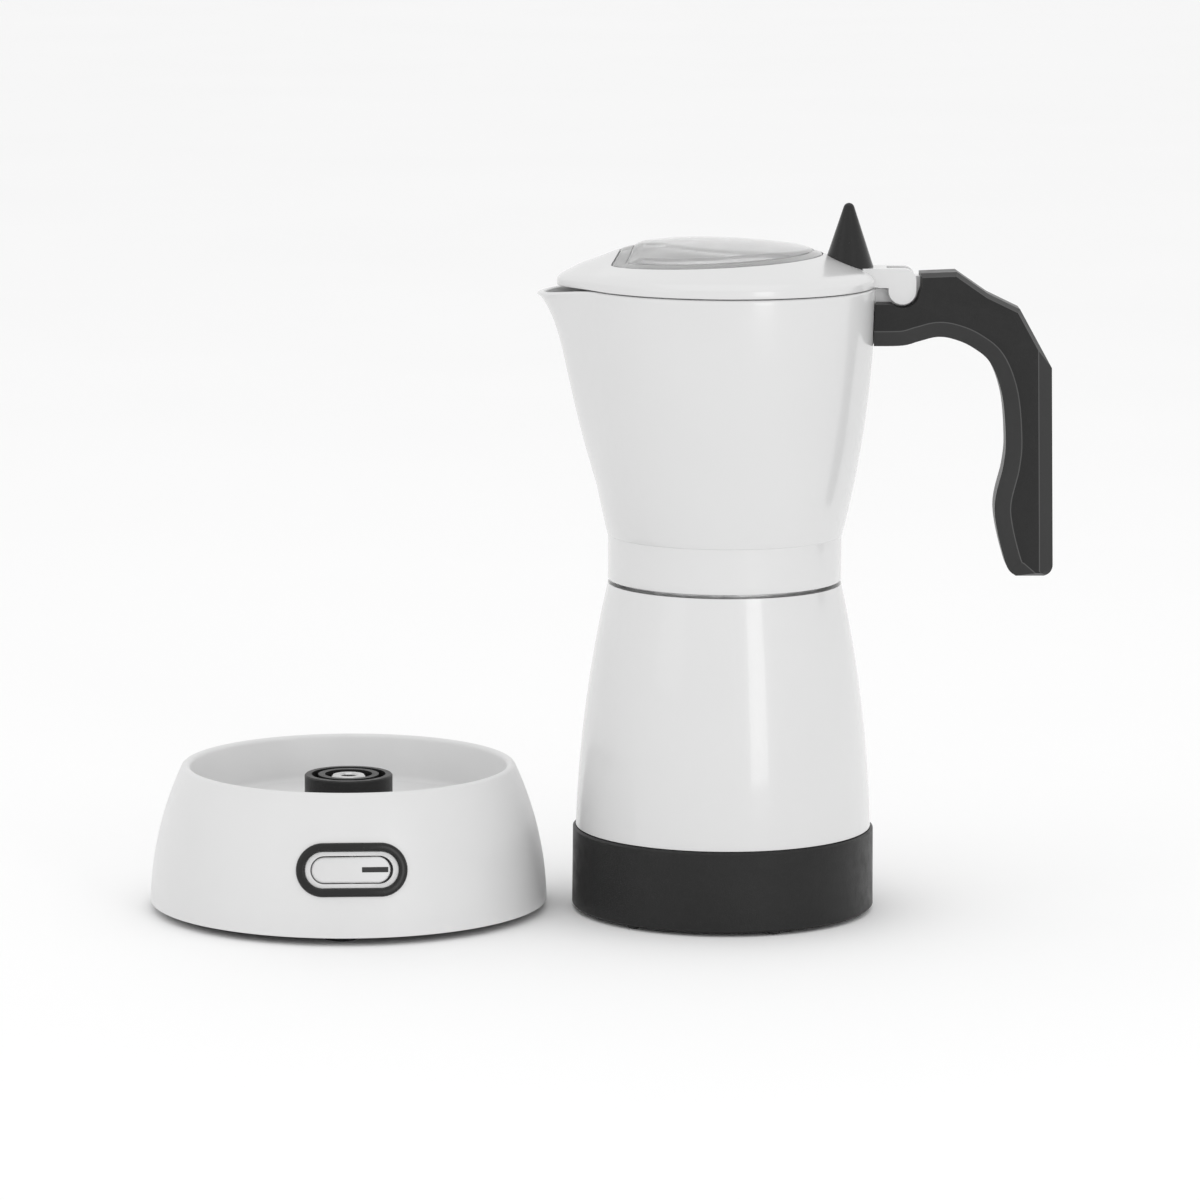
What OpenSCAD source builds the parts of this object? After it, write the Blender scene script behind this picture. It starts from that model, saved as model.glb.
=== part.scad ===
// Electric moka pot standing beside its cordless power stand.
// Millimetres, +Z up. The origin lies on the table, in the middle of the box round both pieces.
// The pot's handle points to +X, its spout to -X, and the stand's switch looks to -Y.

/* [Set] */
// Clear width between the foot of the stand and the foot of the pot
set_gap = 8.1; // [4:0.1:40]

/* [Stand] */
// How much wider than the pot's housing the stand's side wall is, on each side
stand_swell = 15.2; // [14.4:0.2:24]
// Height of the stand's rim above the table
stand_h = 45.8; // [44.8:0.2:48]
// Radius of the bow of the stand's side wall
stand_bow = 106; // [96:1:160]
// Thickness of the stand's walls
stand_wall = 2.5; // [2:0.1:2.8]
// Radius of the rounded rim
rim_round = 1.5; // [1.2:0.1:2]
// Height of the recess floor above the table
dock_floor_z = 31.1; // [29.5:0.1:33]
// Thickness of the recess floor
dock_floor_t = 3; // [2.6:0.1:3.6]
// Clear ring between the pot's housing and the recess wall
dock_gap = 0.9; // [0.6:0.1:1.2]
// Gap between the shell's lower edge and the table
skirt_gap = 2.6; // [1.6:0.1:3]
// Height of the stand's rubber feet below its base plate
foot_h = 3; // [2.6:0.1:4]
// Radius of a rubber foot
foot_r = 6; // [4:0.1:8]
// Thickness of the base plate
base_t = 3; // [2.6:0.1:4]

/* [Connector] */
// Radius of the connector post
post_r = 13.9; // [13:0.1:15]
// Height of the connector post above the recess floor
post_h = 11.1; // [9:0.1:13]
// Thickness of the post's outer wall
post_wall = 2.2; // [1.6:0.1:2.6]
// Width of each ring groove
groove_w = 2.1; // [1.7:0.1:2.3]
// Thickness of the plastic ring between the grooves
ring_w = 2.1; // [1.5:0.1:2.3]
// Radius of the hole in the earth sleeve
sleeve_bore_r = 2.6; // [2:0.1:3]
// Clear ring between the post and the pot's socket
socket_gap = 0.3; // [0.2:0.05:0.5]

/* [Switch] */
// Height of the switch's middle above the table
switch_z = 23.5; // [21:0.1:24]
// Turn of the switch away from straight ahead, in degrees
switch_turn = 3.5; // [0:0.5:8]
// Length of the bezel
bezel_l = 34.3; // [32:0.1:38]
// Height of the bezel
bezel_h = 16.6; // [16:0.1:18]
// Width of the bezel's ring
bezel_w = 2.6; // [2.2:0.1:3]
// How far the bezel stands out of the wall
bezel_proud = 0.9; // [0.5:0.1:1.5]
// Length of the rocker
rocker_l = 24.3; // [20:0.1:25]
// Height of the rocker
rocker_h = 8; // [6:0.1:8.2]
// Angle between the rocker's middle position and either end, in degrees
rocker_tilt = 7; // [4:0.5:9]

/* [Housing] */
// How far the heater housing stands out beyond the boiler
housing_step = 0.8; // [0:0.1:1.6]
// Height of the heater housing
housing_h = 25.3; // [24.5:0.1:32]
// Thickness of the housing's walls
housing_wall = 2.5; // [2:0.1:3]
// Height of the studs under the housing
stud_h = 1.2; // [0.8:0.1:2]

/* [Boiler] */
// How much wider than the jug's rim the boiler is where its wall would stand upright, on each side
boiler_swell = 0.3; // [-0.6:0.1:0.9]
// Height of the boiler's outer wall
boiler_h = 77.3; // [70:0.5:95]
// Thickness of the boiler's wall
boiler_wall = 2.6; // [2:0.1:3.2]
// Radius of the waist, where jug and boiler meet
waist_r = 36.7; // [35.8:0.1:38]
// Outer radius of the boiler's screwed neck
neck_r = 32; // [31.5:0.1:32.4]
// Height of the neck above the boiler's shoulder
neck_h = 10.9; // [10:0.1:12]
// Visible gap between boiler and jug
waist_gap = 1.1; // [0.6:0.1:1.6]
// Height of the safety valve above the boiler's lower edge
valve_rise = 45; // [35:1:52]

/* [Jug] */
// Height of the jug's straight band
band_h = 14.5; // [13.6:0.1:15.4]
// Height from the band to the jug's rim
flare_h = 77.7; // [70:0.5:95]
// Radius of the jug's rim
rim_r = 46.5; // [44.5:0.1:49]
// Thickness of the jug's wall
jug_wall = 2.4; // [2:0.1:2.8]
// Reach of the spout's straight ridge beyond the rim
spout_ridge = 7.4; // [5:0.1:9]
// Extra reach of the curled lip of the spout
spout_curl = 6.8; // [4:0.1:8]
// Half angle of the spout, in degrees
spout_angle = 32; // [26:1:40]
// How far the rim dips at the spout
spout_dip = 1.8; // [0.5:0.1:3]
// Height of the riser column above the jug's floor
column_h = 46; // [36:1:56]

/* [Lid] */
// Seam between lid and jug
lid_seam = 0.3; // [0.2:0.1:0.6]
// Height of the lid's upright edge
lid_edge_h = 3; // [2.6:0.1:4]
// Slope of the lid's top, rise over run
lid_slope = 0.36; // [0.33:0.01:0.4]
// Rise of the lid's rounded shoulder
lid_shoulder = 1.7; // [1.2:0.1:2]
// Thickness of the lid
lid_t = 2; // [1.6:0.1:2.4]
// Reach of the lid's nose over the spout
lid_nose = 6.4; // [4:0.1:8]
// Distance between the window's edge and the jug's rim
window_inset = 13; // [12.6:0.1:15]
// Shift of the window's middle towards the spout
window_shift = 3.2; // [2.6:0.1:4]
// Height of the window's crown above the lid's surface at its edge
window_crown = 5.6; // [5:0.1:7]
// Height of the knob above the lid's upright edge
knob_h = 22.8; // [16:0.1:28]
// Radius that the knob gains for each millimetre down from its tip
knob_slope = 0.33; // [0.28:0.01:0.34]
// Distance between the knob's axis and the jug's rim
knob_inset = 8.5; // [8.2:0.1:9]
// Reach of the hinge axis beyond the jug's rim
hinge_reach = 8.1; // [7.6:0.1:9]
// Radius of the hinge pin
pin_r = 1.5; // [1:0.1:2]
// Radius of the lid's hinge lug
lug_r = 4.35; // [4.2:0.05:4.6]
// Width of the lid's hinge lug
lug_w = 13.5; // [12.5:0.1:15]
// Width of the jug's bracket
bracket_w = 6.2; // [5.2:0.1:7]

/* [Handle] */
// Width of the handle
handle_w = 16; // [14.5:0.1:19]
// Reach of the handle's foot beyond the hinge axis
handle_reach = 48.2; // [45:0.1:57]
// How far the handle's outer side leans outwards, from its upper corner down to its foot
handle_lean = 1.2; // [0:0.1:2]
// Drop of the handle's foot below the hinge bracket's datum
handle_drop = 89.9; // [80:0.1:100]
// Width of the bevel along the finger side
finger_bevel = 5; // [3:0.1:5.4]
// Width of the bevel along the outer side
back_bevel = 4.5; // [2:0.1:4.8]
// Depth of the bevels, measured across the handle
bevel_depth = 2.8; // [2:0.1:3.4]

/* [Hidden] */
$fn = 96;

// Colours
white_paint = [0.93, 0.93, 0.92];
black_plastic = [0.16, 0.16, 0.17];
rubber_black = [0.1, 0.1, 0.1];
steel = [0.75, 0.76, 0.78];
brass = [0.8, 0.65, 0.3];
aluminium = [0.82, 0.82, 0.83];
clear = [0.85, 0.9, 0.92, 0.45];
silicone = [0.9, 0.88, 0.85];

// Clearances that every fit shares
run_fit = 0.05;     // a shaft that turns or slides in its hole
seat_gap = 0.05;    // two faces that rest on each other across a joint
slip_gap = 0.15;    // a piece dropped into a recess
loose_gap = 0.3;    // bodies that pass each other

// Widths that follow the jug's rim, from the boiler down to the stand
boiler_r = rim_r + boiler_swell;
housing_r = boiler_r + housing_step;
stand_r = housing_r + stand_swell;

// Where the two pieces stand, so that the whole box is centred on the origin
set_spacing = stand_r + housing_r + set_gap;
handle_edge = rim_r + hinge_reach + handle_reach;
pot_x = (stand_r + set_spacing - handle_edge) / 2;
stand_x = pot_x - set_spacing;

// Stand, worked out from its sizes
stand_arc_x = stand_r - stand_bow;
function stand_skin_r(z, out = 0) = stand_arc_x + sqrt(pow(stand_bow + out, 2) - z * z);
rim_z = stand_h - rim_round;
rim_mid_r = stand_arc_x + sqrt(pow(stand_bow - rim_round, 2) - rim_z * rim_z);
rim_lean = asin(rim_z / (stand_bow - rim_round));
recess_r = housing_r + dock_gap;
recess_fillet = 2;
floor_under = dock_floor_z - dock_floor_t;
hollow_top_z = dock_floor_z + 6.5;
hollow_top_w = 0.6;
base_r = stand_r - stand_wall - loose_gap;
post_hole_r = post_r + slip_gap;
boss_ring_r = stand_r - 22.8;
boss_r = 4;
screw_r = 1.5;
screw_head_r = 2.8;
screw_head_h = 1.8;
base_screw_l = 11;
foot_ring_r = stand_r - 12.8;
foot_plug_r = 2.5;

// Connector, worked out from its sizes
flange_t = 2.5;
flange_r = post_r + 7.6;
flange_screw_ring_r = post_r + 4.1;
post_top = dock_floor_z + post_h;
ring_out_r = post_r - post_wall - groove_w;
ring_in_r = ring_out_r - ring_w;
sleeve_r = ring_in_r - groove_w;
groove_floor = dock_floor_z + 1;
contact_h = 1.5;
sleeve_seat = floor_under + 0.5;

// Switch, worked out from its sizes
switch_tilt = asin(switch_z / stand_bow);
switch_r = stand_skin_r(switch_z);
bezel_neck = 1.1;        // how far the bezel's neck is smaller than its flange, on each side
frame_l = bezel_l - 2 * bezel_w - 2 * slip_gap;
frame_h = bezel_h - 2 * bezel_w - 2 * slip_gap;
frame_sink = 0.5;        // depth of the switch frame below the wall
rocker_pivot = 4.5;      // depth of the rocker's pivot below the wall
rocker_face = 1;         // depth of the rocker's face in its middle position
rocker_side = 1.6;       // height of the rocker's upright ends
rocker_foot_l = 15;
rocker_deep = 8.5;
case_deep = 15;
case_floor = 2.5;
case_play = 0.2;
trunnion_r = 1.2;
rocker_sweep = rocker_l / 2 * cos(rocker_tilt) + (rocker_pivot - rocker_face) * sin(rocker_tilt);
case_hole_l = 2 * (rocker_sweep + case_play);
case_hole_h = rocker_h + 2 * loose_gap;
case_wall = (frame_h - case_hole_h) / 2;

// Cord gland at the rear of the stand
gland_z = 13;
gland_r = 5.2;
gland_bore_r = 3.6;
gland_collar_r = 7;
gland_collar_l = 4;
gland_trim_z = gland_z + 15;

// Heights of the pot, stacked from the table upwards
housing_base = stud_h;
housing_top = housing_base + housing_h;
boiler_seam = 0.3;
boiler_base = housing_top + boiler_seam;
boiler_top = boiler_base + boiler_h;
neck_top = boiler_top + neck_h;
jug_base = boiler_top + waist_gap;
band_top = jug_base + band_h;
jug_rim = band_top + flare_h;
lid_base = jug_rim + lid_seam;
lid_edge = lid_base + lid_edge_h;

// Housing, socket and heater
stud_ring_r = housing_r - 3.6;
stud_r = 2;
stud_count = 6;
stud_phase = -70;
housing_taper = 0.2;
housing_edge = 0.6;
housing_floor = housing_base + housing_wall;
post_ring_r = housing_r - 11.6;
lug_post_r = 4.5;
lug_post_top = housing_top - 6;
housing_screw_seat = lug_post_top - 3;
housing_screw_l = 8;
socket_r = post_r + socket_gap;
socket_wall = 2;
socket_roof = post_h + 1;
socket_roof_t = 2.2;
socket_flange_r = socket_r + 8;
socket_screw_ring_r = socket_r + 5.1;
socket_flange_t = 2.5;
blade_l = 7;
blade_w = 5;
blade_t = 1;
element_ring_r = post_ring_r - 12;
element_r = 3.5;
element_stub_r = 2.2;
element_stub_l = 7;
element_stub_turn = 12;
thermostat_r = 8;
thermostat_h = 6;

// Boiler, worked out from its sizes
boiler_foot_drop = 12.8; // how far below the boiler its wall would stand upright
boiler_upright_z = boiler_base - boiler_foot_drop;
boiler_floor_t = 3;
spigot_h = 4.5;
spigot_r = housing_r - housing_wall - loose_gap;
spigot_t = 1.8;
neck_wall = 3.4;
neck_bore_r = neck_r - neck_wall;
boiler_drop = boiler_r - waist_r;
boiler_bow = (pow(boiler_top - boiler_upright_z, 2) + pow(boiler_drop, 2)) / (2 * boiler_drop);
function boiler_skin_r(z) = boiler_r - boiler_bow + sqrt(pow(boiler_bow, 2) - pow(z - boiler_upright_z, 2));
shoulder_t = 3;

// Safety valve on the rear of the boiler
valve_z = boiler_base + valve_rise;
valve_boss_r = 8;
valve_face_y = boiler_skin_r(valve_z - valve_boss_r) + 0.4;
valve_neck_r = 4;
valve_neck_l = valve_face_y - boiler_skin_r(valve_z) + boiler_wall + 1;
valve_hex_r = 7.2;
valve_hex_h = 3.6;
valve_barrel_r = 5;
valve_barrel_l = 9;
valve_cavity_r = 3;
valve_seat_t = 1.4;
valve_seat_hole_r = 1.3;
stem_r = 1.2;
plunger_r = 2.8;
plunger_t = 1.6;
stem_out = 1.6;
cap_t = 2;
cap_plug_l = 2;
spring_wire_r = 0.32;
spring_r = 2.1;
spring_turns = 5;

// Funnel, gasket and filter plate
funnel_rim_t = 0.8;
funnel_rim_r = neck_r - 0.5;
basket_r = neck_bore_r - 0.5;
basket_wall = 0.8;
basket_h = 24;
tube_r = 4;
tube_bore_r = 3.2;
tube_foot_gap = 4;
gasket_t = 3;
gasket_r = neck_r - 0.2;
gasket_lip_r = 24;
plate_r = 27;
plate_t = 0.8;
plate_ring_count = 4;
plate_hole_r = 0.9;
plate_hole_pitch = 5.4;

// Jug, worked out from its sizes
thread_gap = loose_gap;
jug_bore_r = neck_r + thread_gap;
jug_ceiling = neck_top + funnel_rim_t + gasket_t + 2 * seat_gap;
jug_floor_t = 3;
jug_floor = jug_ceiling + jug_floor_t;
flare_foot_r = waist_r + 0.25;
flare_upright_z = jug_rim + 0.6;
flare_drop = rim_r - flare_foot_r;
flare_bow = (pow(flare_upright_z - band_top, 2) + pow(flare_drop, 2)) / (2 * flare_drop);
function flare_r(z) = rim_r - flare_bow + sqrt(pow(flare_bow, 2) - pow(flare_upright_z - z, 2));
spout_foot_z = jug_rim - 62.4;
spout_sharpness = 1.6;
spout_curl_power = 8;
function spout_lean(turn) =
    abs(turn) < spout_angle ? pow((1 + cos(180 * turn / spout_angle)) / 2, spout_sharpness) : 0;
function spout_reach(z) =
    let (rise = (z - spout_foot_z) / (jug_rim - spout_foot_z))
    rise <= 0 ? 0 : spout_ridge * rise + spout_curl * pow(rise, spout_curl_power);
function jug_skin_r(z, turn) = flare_r(z) + spout_reach(z) * spout_lean(turn);
function jug_rim_z(turn) = jug_rim - spout_dip * spout_lean(turn);
spout_steps = 24;
round_steps = 34;
// Directions round the pot, counted from the spout and closer together there
turns = concat(
    [for (i = [0 : spout_steps - 1]) spout_angle * (2 * i / spout_steps - 1)],
    [for (i = [0 : round_steps - 1]) spout_angle + (360 - 2 * spout_angle) * i / round_steps]
);
column_r = 6;
column_top_r = 4.6;
column_bore_r = 3.2;
column_flange_r = 9;
column_flange_t = 2;
column_spigot_r = 5.5;
column_cap_t = 1.5;
column_port_r = 1.8;

// Lid hinge and handle mount
hinge_x = rim_r + hinge_reach;
mount_z = jug_rim - 0.5; // datum of the bracket and the handle
pivot_rise = 2;          // rise of the hinge pin above that datum
lug_low = 2.2;           // drop of the lug's lower round below the pin
lug_top = 4.6;           // rise of the lug's flat top above the pin
lug_corner_r = 2.3;
lug_swing_r = norm([lug_r - lug_corner_r, lug_top - lug_corner_r]) + lug_corner_r;
tab_under = 1.4;         // drop of the tab's underside below the pin
tab_wall_gap = 0.5;
tab_root = 13.4;         // how far the tab reaches into the lid, counted from the pin
cheek_gap = loose_gap;
ear_r = lug_r - 0.4;
arm_top = pivot_rise - tab_under - 0.4;
tang_under = 12.2;       // drop of the bracket's underside below the datum
tang_top = 6.7;
tang_end = 11.4;
plate_end = 6.2;         // the bracket's back plate, which closes the gap behind the lug
plate_top = 4.2;
slot_gap = 0.2;
notch_z = pivot_rise - lug_low;
notch_r = lug_r + 0.7;
notch_swing_r = lug_swing_r + 0.32;
notch_side = lug_swing_r + 0.27;
notch_meet_z = (pow(notch_r, 2) - pow(notch_swing_r, 2) + pow(pivot_rise, 2) - pow(notch_z, 2)) / (2 * lug_low);
front_top = 4;           // drop of the handle's front top below the datum
front_under = 17.7;
saddle_gap = 0.3;
handle_screw_x = 3;
handle_screw_r = 1.75;
handle_screw_head_r = 3;
handle_screw_head_h = 2;
handle_screw_seat = 14.2;
handle_screw_l = 8;

// Lid and window, worked out from their sizes
window_r = rim_r - window_inset;
knob_x = rim_r - knob_inset;
lid_crown_r = 12;
lid_shoulder_run = 1.3;
lid_shoulder_dip = 0.6;
// Distances inwards from the lid's outline at which its rounded shoulder is drawn
lid_steps = [0, 0.35, 0.9, 1.8, 3, 5, 8];
function lid_outline_r(turn) = rim_r + lid_nose * spout_lean(turn);
function lid_rise(d) = lid_slope * d + lid_shoulder * (1 - exp(-d / lid_shoulder_run)) - lid_shoulder_dip;
function lid_top_z(r) = lid_edge + lid_rise(rim_r - r);
lid_rim_w = 3;
window_sink = 0.15;
window_z = lid_top_z(window_r) - window_sink;
window_edge_h = 2.6;
window_t = 2;
window_lip = 1.1;
window_bevel_w = 4.5;
window_bevel_h = 2;
window_seat_w = 2;
window_seat_h = 1.8;
knob_tip_r = 1.75;
knob_tip_z = lid_edge + knob_h;
knob_boss_r = 4.4;
knob_boss_under = lid_edge - 0.7;
knob_screw_l = 11;

// Helpers

function arc(x, z, r, from, to, steps) =
    [for (i = [0 : steps]) let (a = from + (to - from) * i / steps) [x + r * cos(a), z + r * sin(a)]];

// Points of a smooth curve through the given points
function blend(a, b, c, d, t) =
    0.5 * ((2 * b) + (c - a) * t + (2 * a - 5 * b + 4 * c - d) * t * t + (3 * b - a - 3 * c + d) * t * t * t);
function smooth(p, steps) = [
    for (i = [0 : len(p) - 2], k = [0 : steps - 1])
        blend(p[max(i - 1, 0)], p[i], p[i + 1], p[min(i + 2, len(p) - 1)], k / steps),
    p[len(p) - 1]
];

// Faces between two neighbouring rings of a loft
function ring_faces(count, low, high) = [
    for (i = [0 : count - 1]) let (j = (i + 1) % count)
        each [[low * count + i, high * count + i, high * count + j], [low * count + i, high * count + j, low * count + j]]
];

// A loft through closed rings, which also runs from the last ring back to the first
module ring_shell(rings) {
    count = len(rings[0]);
    last = len(rings);
    polyhedron(
        points = [for (ring = rings) each ring],
        faces = [for (k = [0 : last - 1]) each ring_faces(count, k, (k + 1) % last)]
    );
}

// A loft through rings, closed at each end round a middle point
module ring_solid(rings, low_middle, high_middle) {
    count = len(rings[0]);
    last = len(rings) - 1;
    low = count * len(rings);
    polyhedron(
        points = concat([for (ring = rings) each ring], [low_middle, high_middle]),
        faces = concat(
            [for (k = [0 : last - 1]) each ring_faces(count, k, k + 1)],
            [for (i = [0 : count - 1]) [low, i, (i + 1) % count]],
            [for (i = [0 : count - 1]) [low + 1, last * count + (i + 1) % count, last * count + i]]
        )
    );
}

// A loft of a bent strip: each ring runs along the strip's upper edge and back along its lower edge
module strip_solid(rings) {
    count = len(rings[0]);
    steps = count / 2 - 1;
    last = len(rings) - 1;
    polyhedron(
        points = [for (ring = rings) each ring],
        faces = concat(
            [for (k = [0 : last - 1]) each ring_faces(count, k, k + 1)],
            [for (i = [0 : steps - 1]) let (m = count - 1 - i) each [[i, i + 1, m - 1], [i, m - 1, m]]],
            [for (i = [0 : steps - 1]) let (a = last * count + i, m = last * count + count - 1 - i)
                each [[a, m - 1, a + 1], [a, m, m - 1]]]
        )
    );
}

// A wound wire, closed at both ends
module coil(radius, wire, height, count) {
    sides = 6;
    steps = 8 * count;
    rings = [
        for (k = [0 : steps]) let (a = 360 * count * k / steps, z = wire + (height - 2 * wire) * k / steps)
            [for (s = [0 : sides - 1]) let (b = -360 * s / sides, r = radius + wire * cos(b))
                [r * cos(a), r * sin(a), z + wire * sin(b)]]
    ];
    ring_solid(
        rings,
        [radius, 0, wire],
        [radius * cos(360 * count), radius * sin(360 * count), height - wire]
    );
}

module stadium(length, height) {
    for (side = [-1, 1]) translate([side * (length - height) / 2, 0]) circle(r = height / 2);
    square([length - height, height], center = true);
}

// A pan-head screw with its tip at +Z and the underside of its head at the origin
module screw(r, length, head_r, head_h) {
    cylinder(r = r, h = length);
    difference() {
        translate([0, 0, -head_h]) cylinder(r = head_r, h = head_h);
        for (turn = [0, 90]) rotate([0, 0, turn])
            translate([0, 0, -head_h]) cube([head_r * 1.2, head_r * 0.3, head_h], center = true);
    }
}

module ring_of(count, radius, phase = 0) {
    for (i = [0 : count - 1]) rotate([0, 0, phase + 360 * i / count]) translate([radius, 0, 0]) children();
}

// A plate cut in the XZ plane and laid across the pot's middle plane
module upright(width) {
    rotate([90, 0, 0]) linear_extrude(height = width, center = true) children();
}

module at_stand() { translate([stand_x, 0, 0]) children(); }
module at_pot() { translate([pot_x, 0, 0]) children(); }
module at_mount() { translate([pot_x + hinge_x, 0, mount_z]) children(); }
module at_pivot() { at_mount() translate([0, 0, pivot_rise]) children(); }
module at_valve() { translate([pot_x, valve_face_y, valve_z]) rotate([-90, 0, 0]) children(); }

// The switch's own frame: X to the right, Y up the wall and Z out of it
module at_switch() {
    rotate([0, 0, switch_turn]) translate([0, -switch_r, switch_z]) rotate([90 - switch_tilt, 0, 0]) children();
}

// A layer of the stand's side wall between two depths, counted outwards from its skin
module wall_layer(inner, outer) {
    low = switch_z - bezel_h;
    high = switch_z + bezel_h;
    steps = 10;
    rotate_extrude() polygon(concat(
        [for (i = [0 : steps]) let (z = low + (high - low) * i / steps) [stand_skin_r(z, outer), z]],
        [for (i = [steps : -1 : 0]) let (z = low + (high - low) * i / steps) [stand_skin_r(z, inner), z]]
    ));
}

// Stand

module stand_shell() {
    skin_steps = 14;
    tangent_z = stand_bow * sin(rim_lean);
    outer = [for (i = [0 : skin_steps]) let (z = skirt_gap + (tangent_z - skirt_gap) * i / skin_steps)
        [stand_skin_r(z), z]];
    rim = arc(rim_mid_r, rim_z, rim_round, rim_lean + 15, 180, 8);
    fillet = arc(recess_r - recess_fillet, dock_floor_z + recess_fillet, recess_fillet, 0, -90, 5);
    hollow_out_r = stand_skin_r(hollow_top_z) - stand_wall;
    inner = [for (i = [skin_steps : -1 : 0]) let (z = skirt_gap + (hollow_top_z - skirt_gap) * i / skin_steps)
        [stand_skin_r(z) - stand_wall, z]];
    color(white_paint) at_stand() difference() {
        union() {
            rotate_extrude() polygon(concat(
                outer, rim, fillet,
                [[post_hole_r, dock_floor_z], [post_hole_r, floor_under], [recess_r + stand_wall, floor_under]],
                [[min(recess_r + stand_wall, hollow_out_r - hollow_top_w), hollow_top_z]],
                inner
            ));
            ring_of(4, boss_ring_r, 45) translate([0, 0, foot_h + base_t])
                cylinder(r = boss_r, h = floor_under - foot_h - base_t + dock_floor_t / 2);
        }
        ring_of(4, boss_ring_r, 45) translate([0, 0, foot_h])
            cylinder(r = screw_r + run_fit, h = screw_head_h + base_screw_l + 1);
        ring_of(3, flange_screw_ring_r, 90) translate([0, 0, floor_under - 1])
            cylinder(r = screw_r + run_fit, h = 1 + dock_floor_t * 0.7);
        at_switch() translate([0, 0, -bezel_h]) linear_extrude(height = 2 * bezel_h)
            stadium(bezel_l - 2 * (bezel_neck - slip_gap), bezel_h - 2 * (bezel_neck - slip_gap));
        translate([0, stand_r - bezel_h, gland_z]) rotate([-90, 0, 0])
            cylinder(r = gland_r + run_fit, h = 2 * bezel_h);
    }
}

module stand_base() {
    color(black_plastic) at_stand() difference() {
        translate([0, 0, foot_h]) cylinder(r = base_r, h = base_t);
        ring_of(4, boss_ring_r, 45) {
            translate([0, 0, foot_h - 1]) cylinder(r = screw_r + slip_gap, h = base_t + 2);
            translate([0, 0, foot_h - 1]) cylinder(r = screw_head_r + slip_gap, h = 1 + screw_head_h);
        }
        ring_of(4, foot_ring_r) translate([0, 0, foot_h - 1]) cylinder(r = foot_plug_r + run_fit, h = base_t + 2);
    }
}

module stand_feet() {
    color(rubber_black) at_stand() ring_of(4, foot_ring_r) rotate_extrude() polygon([
        [0, 0], [foot_r - 0.8, 0], [foot_r, 0.8], [foot_r, foot_h], [foot_plug_r, foot_h],
        [foot_plug_r, foot_h + base_t], [0, foot_h + base_t]
    ]);
}

module stand_screws() {
    color(steel) at_stand() ring_of(4, boss_ring_r, 45) translate([0, 0, foot_h + screw_head_h])
        screw(screw_r, base_screw_l, screw_head_r, screw_head_h);
}

module stand_connector() {
    edge = 0.4;
    color(black_plastic) at_stand() difference() {
        rotate_extrude() polygon([
            [sleeve_bore_r, floor_under - flange_t], [flange_r, floor_under - flange_t], [flange_r, floor_under],
            [post_r, floor_under], [post_r, post_top - edge], [post_r - edge, post_top],
            [post_r - post_wall, post_top], [post_r - post_wall, groove_floor], [ring_out_r, groove_floor],
            [ring_out_r, post_top], [ring_in_r, post_top], [ring_in_r, groove_floor],
            [sleeve_r + run_fit, groove_floor], [sleeve_r + run_fit, sleeve_seat], [sleeve_bore_r, sleeve_seat]
        ]);
        ring_of(3, flange_screw_ring_r, 90) translate([0, 0, floor_under - flange_t - 1])
            cylinder(r = screw_r + slip_gap, h = flange_t + 2);
    }
}

module connector_screws() {
    color(steel) at_stand() ring_of(3, flange_screw_ring_r, 90) translate([0, 0, floor_under - flange_t])
        screw(screw_r, flange_t + dock_floor_t * 0.6, screw_head_r, screw_head_h);
}

module contact_ring(inner_r, outer_r) {
    color(brass) at_stand() rotate_extrude() translate([inner_r + slip_gap, groove_floor])
        square([outer_r - inner_r - 2 * slip_gap, contact_h]);
}

module live_contact() { contact_ring(ring_out_r, post_r - post_wall); }

module neutral_contact() { contact_ring(sleeve_r, ring_in_r); }

module earth_sleeve() {
    edge = 0.5;
    sleeve_top = post_top - 0.3;
    color(steel) at_stand() rotate_extrude() polygon([
        [sleeve_bore_r, sleeve_seat], [sleeve_r, sleeve_seat], [sleeve_r, sleeve_top - edge],
        [sleeve_r - edge, sleeve_top], [sleeve_bore_r + edge, sleeve_top], [sleeve_bore_r, sleeve_top - edge]
    ]);
}

module switch_bezel() {
    neck_deep = stand_wall + 1.5;
    color(black_plastic) at_stand() difference() {
        union() {
            intersection() {
                wall_layer(0.03, bezel_proud);
                at_switch() translate([0, 0, -bezel_h]) linear_extrude(height = 2 * bezel_h) stadium(bezel_l, bezel_h);
            }
            intersection() {
                wall_layer(-neck_deep, bezel_proud / 2);
                at_switch() translate([0, 0, -bezel_h]) linear_extrude(height = 2 * bezel_h)
                    stadium(bezel_l - 2 * bezel_neck, bezel_h - 2 * bezel_neck);
            }
        }
        at_switch() translate([0, 0, -bezel_h]) linear_extrude(height = 2 * bezel_h)
            stadium(bezel_l - 2 * bezel_w, bezel_h - 2 * bezel_w);
    }
}

module switch_case() {
    plate_deep = 4;
    color(white_paint) at_stand() difference() {
        union() {
            intersection() {
                wall_layer(-plate_deep, -frame_sink);
                at_switch() translate([0, 0, -bezel_h]) linear_extrude(height = 2 * bezel_h) stadium(frame_l, frame_h);
            }
            at_switch() translate([0, 0, -case_deep]) linear_extrude(height = case_deep - plate_deep / 2)
                stadium(frame_l - 2 * case_play, frame_h - 2 * case_play);
        }
        at_switch() {
            translate([0, 0, case_floor - case_deep]) linear_extrude(height = 2 * case_deep)
                stadium(case_hole_l, case_hole_h);
            translate([0, 0, -rocker_pivot]) rotate([90, 0, 0])
                cylinder(r = trunnion_r + run_fit, h = 2 * frame_h, center = true);
        }
    }
}

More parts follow.
